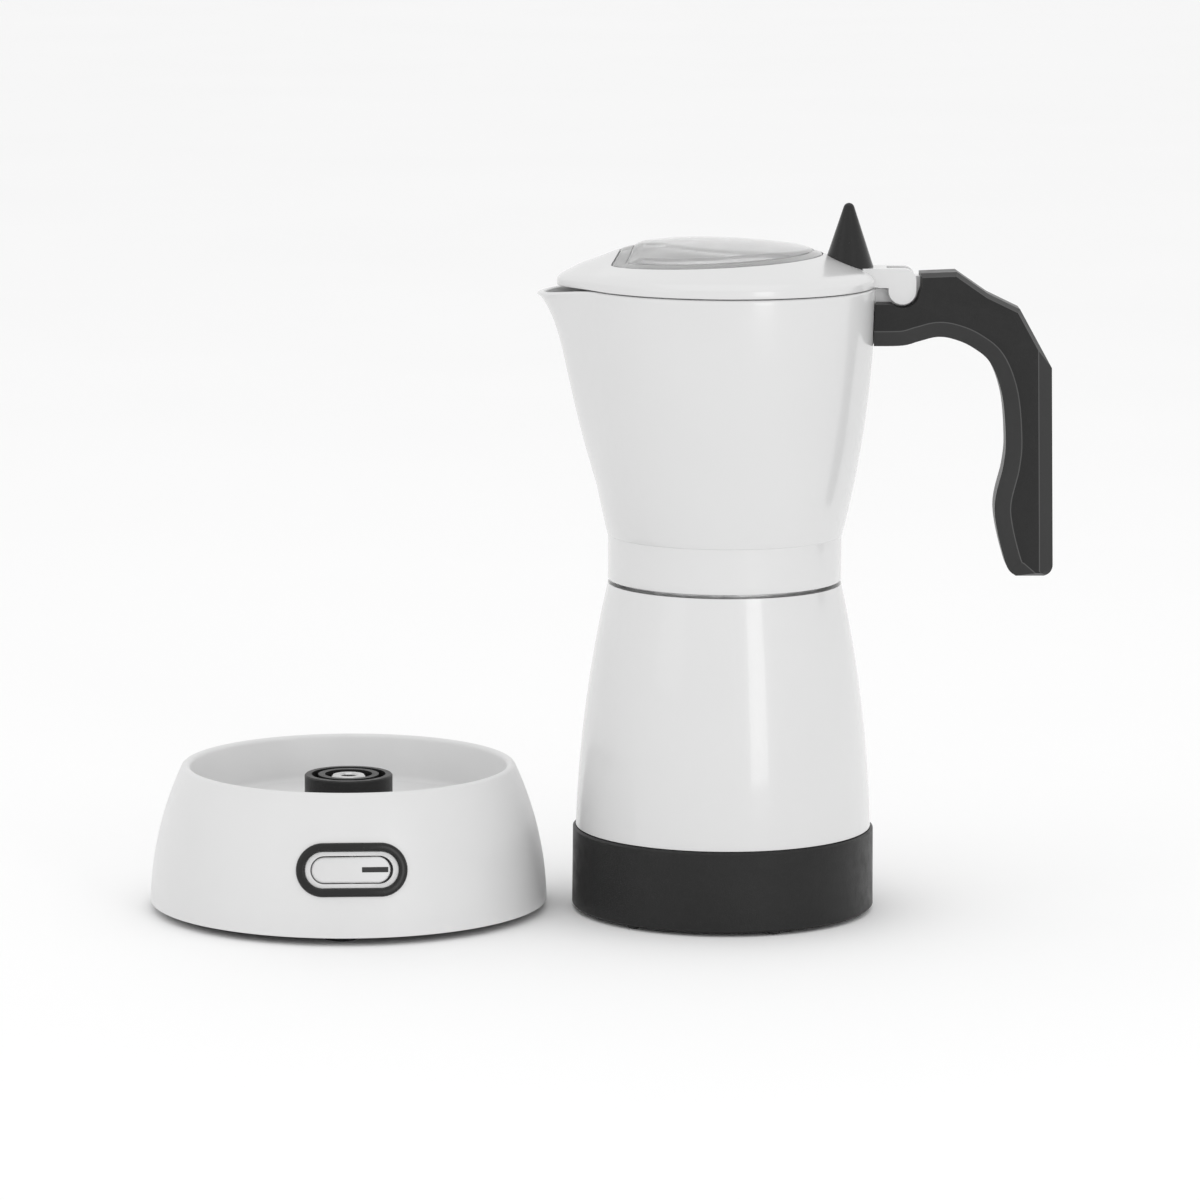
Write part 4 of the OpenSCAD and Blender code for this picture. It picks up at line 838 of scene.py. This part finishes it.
rings = [rim_ring(0.35, lid_base), rim_ring(0.1, lid_base + 0.1), rim_ring(0.0, lid_base + 0.35)]
rings += [rim_ring(0.0, lid_base + 1.0), rim_ring(0.0, lid_edge - 1.3)]
rings += [rim_ring(d) for d in (0.03, 0.12, 0.25, 0.4, 0.6, 0.9, 1.3, 1.8, 2.4, 3.2, 4.2, 5.5, 7.0)]
rings += [cone_ring(k / 10) for k in range(11)]
rings += [seat_ring(0.0, ledge_top), seat_ring(ledge_in, ledge_top)]
rings += [seat_ring(ledge_in, ledge_under), seat_ring(-0.15, ledge_under)]
rings += [window_ring(-0.15, lid_under), level_ring(skirt_r, under_z), level_ring(skirt_r, lid_base)]
lid_shell = new_loft("lid_shell", rings, 35)
seat(lid_shell, "lid", white_enamel, "white_paint", "lid")

# %% [markdown]
# ## Hinge lug and knob boss
# The lid's tab reaches back over the rim and ends in a lug with two cheeks, one on each side of the jug's
# ear. The near cheek covers the pin. Under the knob a short boss takes its screw.

# %% Lug and boss of the lid
lug_front, lug_top, lug_half, slot_half = -13.4, 4.6, 6.75, 3.4
cheek_r, cheek_z, pin_bore, near_cheek = 4.35, -2.2, 1.55, 1.1
lug_outline = [(lug_front, -1.2), (lug_front, lug_top)] + arc(0.75, 1.0, lug_top - 1.0, 90, 0, 14)
lug_outline += arc(0, cheek_z, cheek_r, 0, -180, 30)
lug_outline += [(-cheek_r, -1.4), (-7.6, -1.4), (-7.6, -1.2)]
hinge_lug = side_plate("hinge_lug", pivot, lug_outline, -lug_half, lug_half)
slot_outline = [(-4.65, -9), (12, -9), (12, 9), (-4.65, 9)]
cut_away(hinge_lug, side_plate("slot_tool", pivot, slot_outline, -slot_half, slot_half))
cut_away(hinge_lug, pin_tool(pin_bore, near_cheek - lug_half, 12.0))
round_edges(hinge_lug, 0.45)
seat(hinge_lug, "lid", white_enamel, "white_paint")


def lathe(name, x, profile, steps=96, corner=32):
    points = []
    for k in range(steps):
        a = 2 * math.pi * k / steps
        points += [(x + r * math.cos(a), r * math.sin(a), z) for r, z in profile]
    return new_piece(name, points, loft_faces(steps, len(profile), True), corner)


boss_x, boss_r, boss_bore, boss_low, boss_high = pot_x + 38, 4.4, 1.9, 200.0, 202.5
boss_profile = [(boss_bore, boss_low), (boss_r - 0.3, boss_low), (boss_r, boss_low + 0.3)]
boss_profile += [(boss_r, boss_high), (boss_bore, boss_high)]
knob_boss = lathe("knob_boss", boss_x, boss_profile)
seat(knob_boss, "lid", white_enamel, "white_paint")

# %% [markdown]
# ## The window
# A clear cap lies flush in the lid: a strip that carries the lid's slope on, a steeper band, and a low
# dome. Its edge is round but cut back towards the spout. A fine groove parts the strip from the band;
# groove and band draw the grey lines in the photograph, so both are true facets of the loft.

# %% Window in the lid
dome_z, dome_r, dome_x = 212.0, 220, pot_x - 8


def window_top(x, y, lift):
    dome = dome_z - ((x - dome_x) ** 2 + y ** 2) / (2 * dome_r)
    return soft_min(lid_top(x, y) + lift, dome, 0.5)


def cap_ring(level, lift, scale=1.0):
    return window_ring(level, lambda x, y: window_top(x, y, lift), scale)


strip_from, groove, top_lift, cap_wall = 0.12, 0.3, 0.92, 2.0
cap_gap, cap_under = 0.06, ledge_top - 0.1
inner_scales = [0.98] + [0.95 - 0.05 * k for k in range(19)] + [0.002]
rings = [seat_ring(cap_gap, cap_under), seat_ring(cap_gap, 0.3)]
rings += [cap_ring(0.065, -0.14), cap_ring(0.08, -0.05), cap_ring(strip_from, 0.0)]
rings += [cap_ring(strip_from + 0.39 * k / 4, 0.0) for k in range(1, 5)]
rings += [cap_ring(0.525, -groove), cap_ring(0.6, -groove), cap_ring(0.615, 0.0)]
rings += [cap_ring(0.63 + 0.34 * k / 4, 0.04 + 0.84 * k / 4) for k in range(5)]
rings += [cap_ring(1.0, top_lift)] + [cap_ring(1.0, top_lift, scale) for scale in inner_scales]
for scale in reversed(inner_scales):
    rings.append([(x, y, z - cap_wall) for x, y, z in cap_ring(1.0, top_lift, scale)])
rings += [cap_ring(0.62, -1.6), seat_ring(ledge_in, cap_under)]
window_cap = new_loft("window_cap", rings, 24)
seat(window_cap, "lid", clear_cap, "clear_plastic", "lid_window")

# %% [markdown]
# ## The handle
# A moulded handle with a flat side and bevels of different widths along its finger side, its back and its
# short edges. The side view is drawn once; a second outline is drawn in by each edge's own bevel, with
# true mitres at the corners, and the two outlines are joined across the handle's width. The flat sides
# are grained; the bevels are smooth and painted a little lighter for the light they catch, and a narrow
# facet along each edge between them carries a painted highlight.

# %% Side view of the handle
def smooth_path(p, steps):
    out = []
    for i in range(len(p) - 1):
        a, b, c, d = p[max(i - 1, 0)], p[i], p[i + 1], p[min(i + 2, len(p) - 1)]
        for k in range(steps):
            t = k / steps
            out.append(tuple(
                0.5 * (2 * b[n] + (c[n] - a[n]) * t + (2 * a[n] - 5 * b[n] + 4 * c[n] - d[n]) * t * t
                       + (3 * b[n] - a[n] - 3 * c[n] + d[n]) * t ** 3)
                for n in (0, 1)
            ))
    return out + [p[-1]]


# Widths of the bevels: short edges, hinge notch, finger side and back.
EDGE, NOTCH, FINGER, BACK = 1.2, 0.4, 5.0, 4.5
front, knee = -hinge_reach - 1.2, handle_reach - handle_lean
grip = knee - 15
# The CAD lug's corner sweeps this far round the pin, so the hollow under the lug also clears that circle.
corner_x, corner_z, corner_r = 2.05, 2.3, 2.3
swing_r = math.hypot(corner_x, corner_z) + corner_r
notch_r, notch_drop, notch_floor = 5.05, 0.2, 4.0
clear_r, notch_side = swing_r + 0.32, swing_r + 0.27
meet_z = (notch_r ** 2 - clear_r ** 2 + pin_rise ** 2 - notch_drop ** 2) / (2 * (pin_rise + notch_drop))
notch_from = 180 + math.degrees(math.asin((notch_floor - notch_drop) / notch_r))
notch_to = 360 + math.degrees(math.asin((meet_z + notch_drop) / notch_r))
clear_from = math.degrees(math.asin((meet_z - pin_rise) / clear_r))
clear_to = -math.degrees(math.acos(notch_side / clear_r))
outline = [(front, -notch_floor, NOTCH), (-notch_r - 0.2, -notch_floor, NOTCH)]
outline += [(x, z, NOTCH) for x, z in arc(0, -notch_drop, notch_r, notch_from, notch_to, 24)]
outline += [(x, z, NOTCH) for x, z in arc(0, pin_rise, clear_r, clear_from, clear_to, 6)[1:]]
outline += [(notch_side, 5.1, EDGE), (knee * 0.36, 5.6, EDGE), (knee * 0.57, -1.2, EDGE)]
outline += [(knee - 10.2, -6.0, EDGE), (knee - 5.1, -15.2, EDGE)]
toe_r, back_from = 3.4, 24.4
back_run = handle_drop - toe_r - back_from
for share in [0.17 * k for k in range(6)]:
    outline.append((knee + handle_lean * share, -back_from - back_run * share, BACK))
# Round the toe the inner outline is given outright, so that the wide back bevel runs out into the short edge.
for k, (x, z) in enumerate(arc(handle_reach - toe_r, toe_r - handle_drop, toe_r, 0, -80, 9)):
    inner_x = handle_reach - BACK + 0.05 * k + 0.0056 * k * k
    outline.append((x, z, EDGE, inner_x, EDGE - handle_drop + 0.6 - 0.0667 * k))
lower = smooth_path([
    (front, -17.7), (0.2, -17.5), (5.5, -16.1), (11, -14.75), (16, -15.35), (22, -17.9), (27.8, -22.9),
    (grip - 0.4, -33), (grip + 0.9, -46.5), (grip + 0.3, -55), (grip - 2.3, -69),
    (grip + 1.4, 4 - handle_drop), (grip + 4.6, -handle_drop),
], 7)
outline += [(x, z, FINGER) for x, z in reversed(lower[1:])] + [(lower[0][0], lower[0][1], NOTCH)]
print("points of the handle's side view:", len(outline))

# %% [markdown]
# ## Body of the handle
# The full outline runs across the middle of the handle's width and is drawn in by the bevels towards both
# flat sides. Where it meets the jug it is cut to the jug's flare, a slot takes the tang of the hinge arm, and
# a well from below lets the screw in. Each facet's finish follows from where it lies and how it faces, so the
# narrow edge facets get a painted highlight and the bevels a lighter painted tone.

# %% Handle body
SIDE_HALF, HIGHLIGHT_HALF, BEVEL_HALF, HIGHLIGHT_SHARE = 8.0, 7.87, 5.2, 0.93
saddle_gap, tang_play = 0.3, 0.2


def inward(a, b):
    run = Vector((b[1] - a[1], a[0] - b[0]))
    return run.normalized()


def drawn_in(share):
    out = []
    for i, here in enumerate(outline):
        before, after = outline[i - 1], outline[(i + 1) % len(outline)]
        place = Vector(here[:2])
        if len(here) == 5:
            shift = Vector(here[3:]) - place
        else:
            n, m = inward(before, here), inward(here, after)
            c = n.dot(m)
            if c > 0.97:
                shift = (n + m).normalized() * (before[2] + here[2]) / 2
            else:
                shift = ((before[2] - here[2] * c) * n + (here[2] - before[2] * c) * m) / (1 - c * c)
        out.append(place + shift * share)
    return out


# The second half-width bounds the narrow facet that carries the painted edge highlight.
layers = [(-SIDE_HALF, 1.0), (-HIGHLIGHT_HALF, HIGHLIGHT_SHARE), (-BEVEL_HALF, 0.0)]
layers += [(-y, share) for y, share in reversed(layers)]
points = []
for y, share in layers:
    points += [(mount.x + p.x, y, mount.z + p.y) for p in drawn_in(share)]
count, last = len(outline), len(points) - 1
faces = loft_faces(len(layers), count, False)
faces += [tuple(range(count)), tuple(range(last, last - count, -1))]
handle_grip = new_piece("handle_grip", points, faces, 22)

saddle = [(0.01, mount.z - 40)]
saddle += [(flare(mount.z + z) + saddle_gap, mount.z + z) for z in range(-40, 1, 4)]
saddle += [(rim_r + saddle_gap, mount.z + 20), (0.01, mount.z + 20)]
cut_away(handle_grip, lathe("saddle_tool", pot_x, saddle, 240))
slot_end, slot_back = tang_end + tang_play, arm_back + tang_play
slot_low, slot_high, slot_top = tang_low - tang_play, tang_high + tang_play, arm_shoulder + tang_play
tang_slot = [(front - 1, slot_low), (slot_end, slot_low), (slot_end, slot_high)]
tang_slot += [(slot_back, slot_high), (slot_back, slot_top), (front - 1, slot_top)]
tang_half = arm_half + tang_play
cut_away(handle_grip, side_plate("tang_tool", mount, tang_slot, -tang_half, tang_half))
head_r, shank_r, head_z, shank_z = 3.15, 1.9, mount.z - 14.2, mount.z - 11.5
screw_well = [(0.01, mount.z - 60), (head_r, mount.z - 60), (head_r, head_z)]
screw_well += [(shank_r, head_z), (shank_r, shank_z), (0.01, shank_z)]
cut_away(handle_grip, lathe("well_tool", mount.x + 3, screw_well, 64))
round_edges(handle_grip, 0.3, 14, 2)
seat(handle_grip, "jug", black_moulding, "black_plastic", "handle")
handle_grip.data.materials.append(bevel_painted_lighter)
handle_grip.data.materials.append(painted_edge_highlight)
# Narrow edge facets take the painted highlight, flat sides the grained black, and the bevels the lighter
# painted tone.
for face in handle_grip.data.polygons:
    if HIGHLIGHT_HALF + 0.01 < abs(face.center.y) / MM < SIDE_HALF - 0.01:
        face.material_index = 2
    elif abs(face.normal.y) > 0.97:
        face.material_index = 0
    else:
        face.material_index = 1

# %% [markdown]
# ## The switch
# The bezel lies on a wall that bows both ways. Each point of its oval is therefore pushed along the
# switch's own axis until it meets the wall, and the rounded section is raised from there.

# %% Bezel on the bowed wall
switch_z, switch_turn = 23.5, math.radians(3.5)
switch_tilt = math.asin(switch_z / stand_bow)
bezel_long, bezel_high = 34.3, 16.6


def stand_skin(z, out=0.0):
    return stand_r - stand_bow + math.sqrt((stand_bow + out) ** 2 - z * z)


switch_place = (
    Matrix.Translation((stand_x, 0, 0))
    @ Matrix.Rotation(switch_turn, 4, "Z")
    @ Matrix.Translation((0, -stand_skin(switch_z), switch_z))
    @ Matrix.Rotation(math.pi / 2 - switch_tilt, 4, "X")
)


def on_wall(x, y, out):
    low, high = -12.0, 6.0
    for _ in range(40):
        middle = (low + high) / 2
        p = switch_place @ Vector((x, y, middle))
        if math.hypot(p.x - stand_x, p.y) < stand_skin(p.z, out):
            low = middle
        else:
            high = middle
    return switch_place @ Vector((x, y, high))


def oval(length, height, bends=28, straights=10):
    side, r = (length - height) / 2, height / 2
    ring = [(side + x, y) for x, y in arc(0, 0, r, -90, 90, bends)]
    ring += [(side - 2 * side * k / straights, r) for k in range(1, straights)]
    ring += [(x - side, y) for x, y in arc(0, 0, r, 90, 270, bends)]
    ring += [(2 * side * k / straights - side, -r) for k in range(1, straights)]
    return ring


section = [(0.0, 0.03), (0.03, 0.3), (0.14, 0.56), (0.34, 0.76), (0.62, 0.87), (1.0, 0.9), (1.6, 0.9),
           (2.0, 0.84), (2.3, 0.68), (2.5, 0.42), (2.6, 0.1), (2.6, -1.6), (2.6, -4.0), (1.1, -4.0),
           (1.1, 0.03)]
rings = []
for inset, out in section:
    ring = oval(bezel_long - 2 * inset, bezel_high - 2 * inset)
    rings.append([tuple(on_wall(x, y, out)) for x, y in ring])
bezel = new_loft("bezel_ring", rings, 40)
seat(bezel, "stand", black_gloss, "black_plastic", "switch_bezel")

# %% [markdown]
# ## Rocker and its printed bar
# The rocker is a moulded oval paddle with softened edges and a pin on each side. It stands tilted in its
# off position. The bar at one end is printed, so it is a thin inked plate that stands just proud of the
# face.

# %% Rocker and its printed bar
rocker_long, rocker_high, rocker_soft = 24.3, 8.0, 0.7
face_z, axis_depth, off_tilt = 3.5, 4.5, math.radians(-7)
rocker_place = switch_place @ Matrix.Translation((0, 0, -axis_depth)) @ Matrix.Rotation(off_tilt, 4, "Y")


def on_rocker(x, y, z):
    return tuple(rocker_place @ Vector((x, y, z)))


rings = [oval(0.6, 0.4), oval(22.8, 6.5)]
heights = [face_z, face_z]
for x, z in arc(0, 0, rocker_soft, 90, 0, 5):
    inset = 2 * (rocker_soft - x)
    rings.append(oval(rocker_long - inset, rocker_high - inset))
    heights.append(face_z - rocker_soft + z)
rings += [oval(rocker_long, rocker_high), oval(15.0, rocker_high), oval(8.4, 1.0)]
heights += [1.9, -4.0, -4.0]
points = [on_rocker(x, y, z) for ring, z in zip(rings, heights) for x, y in ring]
count, last = len(rings[0]), len(points) - 1
faces = loft_faces(len(rings), count, False)
faces += [tuple(range(count - 1, -1, -1)), tuple(range(last + 1 - count, last + 1))]
pin = arc(0, 0, 1.2, 0, 337.5, 15)
for side in (-1, 1):
    base = len(points)
    points += [on_rocker(x, side * y, z) for y in (3.6, 5.35) for x, z in pin]
    faces += [tuple(base + i for i in face) for face in loft_faces(2, len(pin), False)]
    faces += [tuple(base + i for i in range(len(pin)))]
    faces += [tuple(base + 2 * len(pin) - 1 - i for i in range(len(pin)))]
paddle = new_piece("rocker_paddle", points, faces, 40)
seat(paddle, "rocker", white_moulding, "white_plastic", "switch_rocker")

bar_x, bar_half, bar_side, bar_round = 7.6, 3.9, 0.65, 0.15
bar_low, bar_high = face_z - 0.2, face_z + 0.045
bar_ring = []
for quarter, (along, across) in enumerate(((1, 1), (-1, 1), (-1, -1), (1, -1))):
    start = 90 * quarter
    bar_ring += arc(bar_x + along * bar_half, across * bar_side, bar_round, start, start + 90, 4)
points = [on_rocker(x, y, z) for z in (bar_low, bar_high) for x, y in bar_ring]
count = len(bar_ring)
faces = loft_faces(2, count, False) + [tuple(range(count)), tuple(range(2 * count - 1, count - 1, -1))]
mark = new_piece("rocker_mark", points, faces, 30)
seat(mark, "rocker", print_ink, "black_plastic")

# %% [markdown]
# ## The valve spring
# The safety valve's spring lies between the plunger, which moves, and the cap, which doesn't. A rigid
# coil would cut into the plunger; this one is a wire loft drawn in the CAD spring's own box, baked into
# place and not attached to either body.

# %% Valve spring
WIRE_R, COIL_TURNS, STEPS_A_TURN, WIRE_SIDES = 0.32, 5, 28, 10
coil_low, coil_high = [Vector(corner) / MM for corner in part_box("valve_spring")]
coil_axis = (coil_low + coil_high) / 2
coil_r = (coil_high.x - coil_low.x) / 2 - WIRE_R
coil_start, coil_end = coil_low.y + WIRE_R, coil_high.y - WIRE_R
lead = (coil_end - coil_start) / (2 * math.pi * COIL_TURNS)
coil_steps = COIL_TURNS * STEPS_A_TURN
wire = arc(0, 0, WIRE_R, 0, 360 - 360 / WIRE_SIDES, WIRE_SIDES - 1)
points = []
for k in range(coil_steps + 1):
    a = 2 * math.pi * k / STEPS_A_TURN
    out = Vector((math.cos(a), 0.0, math.sin(a)))
    along = Vector((-coil_r * math.sin(a), lead, coil_r * math.cos(a))).normalized()
    across = along.cross(out)
    centre = Vector((coil_axis.x, coil_start + lead * a, coil_axis.z)) + coil_r * out
    points += [centre + c * out + s * across for c, s in wire]
last = len(points) - 1
faces = loft_faces(coil_steps + 1, WIRE_SIDES, False)
faces += [tuple(range(WIRE_SIDES)), tuple(range(last, last - WIRE_SIDES, -1))]
valve_coil = new_piece("valve_coil", points, faces, 40)
valve_coil.data.materials.append(plated_steel)
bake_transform(valve_coil)
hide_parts("valve_spring")
print("valve_coil", len(valve_coil.data.polygons), "faces between stem and pot")

# %% [markdown]
# ## Stage and light
# The photograph is lit almost evenly, with one tall soft box on the right whose reflection runs down the
# boiler. A pale floor, a bright surround, a large box above, that tall box and a weak one on the left give
# much the same soft shading.

# %% Floor, surround and lamps
FLOOR_REACH = 30
floor_mesh = bpy.data.meshes.new("studio_floor")
corners = [(FLOOR_REACH * x, FLOOR_REACH * y, 0) for x, y in ((-1, -1), (1, -1), (1, 1), (-1, 1))]
floor_mesh.from_pydata(corners, [], [(0, 1, 2, 3)])
studio_floor = bpy.data.objects.new("studio_floor", floor_mesh)
bpy.context.scene.collection.objects.link(studio_floor)
floor_paper, tree, shader = new_finish("floor_paper")
paper = add_drift(tree, grey(0.97), grey(0.96), scale=3.0, gloss=(0.8, 0.9))
tree.links.new(paper.outputs["Color"], shader.inputs["Base Color"])
tree.links.new(paper.outputs["Roughness"], shader.inputs["Roughness"])
floor_mesh.materials.append(floor_paper)

surround = bpy.data.worlds.new("studio_surround")
surround.use_nodes = True
surround.node_tree.nodes["Background"].inputs["Color"].default_value = (1.0, 1.0, 1.0, 1.0)
surround.node_tree.nodes["Background"].inputs["Strength"].default_value = 0.96
bpy.context.scene.world = surround
bpy.context.scene.view_settings.view_transform = "Standard"


def soft_box(name, place, aim, width, height, watts):
    lamp = bpy.data.lights.new(name, "AREA")
    lamp.shape = "RECTANGLE"
    lamp.size = width
    lamp.size_y = height
    lamp.energy = watts
    box = bpy.data.objects.new(name, lamp)
    bpy.context.scene.collection.objects.link(box)
    box.location = place
    box.rotation_euler = (Vector(aim) - Vector(place)).to_track_quat("-Z", "Y").to_euler()
    return box


soft_box("box_above", place=(0.0, -0.2, 1.7), aim=(0.0, 0.0, 0.1), width=1.6, height=1.2, watts=2.0)
soft_box("box_right", place=(0.78, -1.43, 0.4), aim=(0.04, 0.0, 0.1), width=0.42, height=0.8, watts=2.6)
soft_box("box_left", place=(-1.3, -1.1, 0.7), aim=(-0.05, 0.0, 0.1), width=0.8, height=0.9, watts=0.8)

# %% [markdown]
# ## Last update
# Dressing must not change the object's size. The last line brings the view layer up to date.

# %% Update the view layer
bpy.context.view_layer.update()
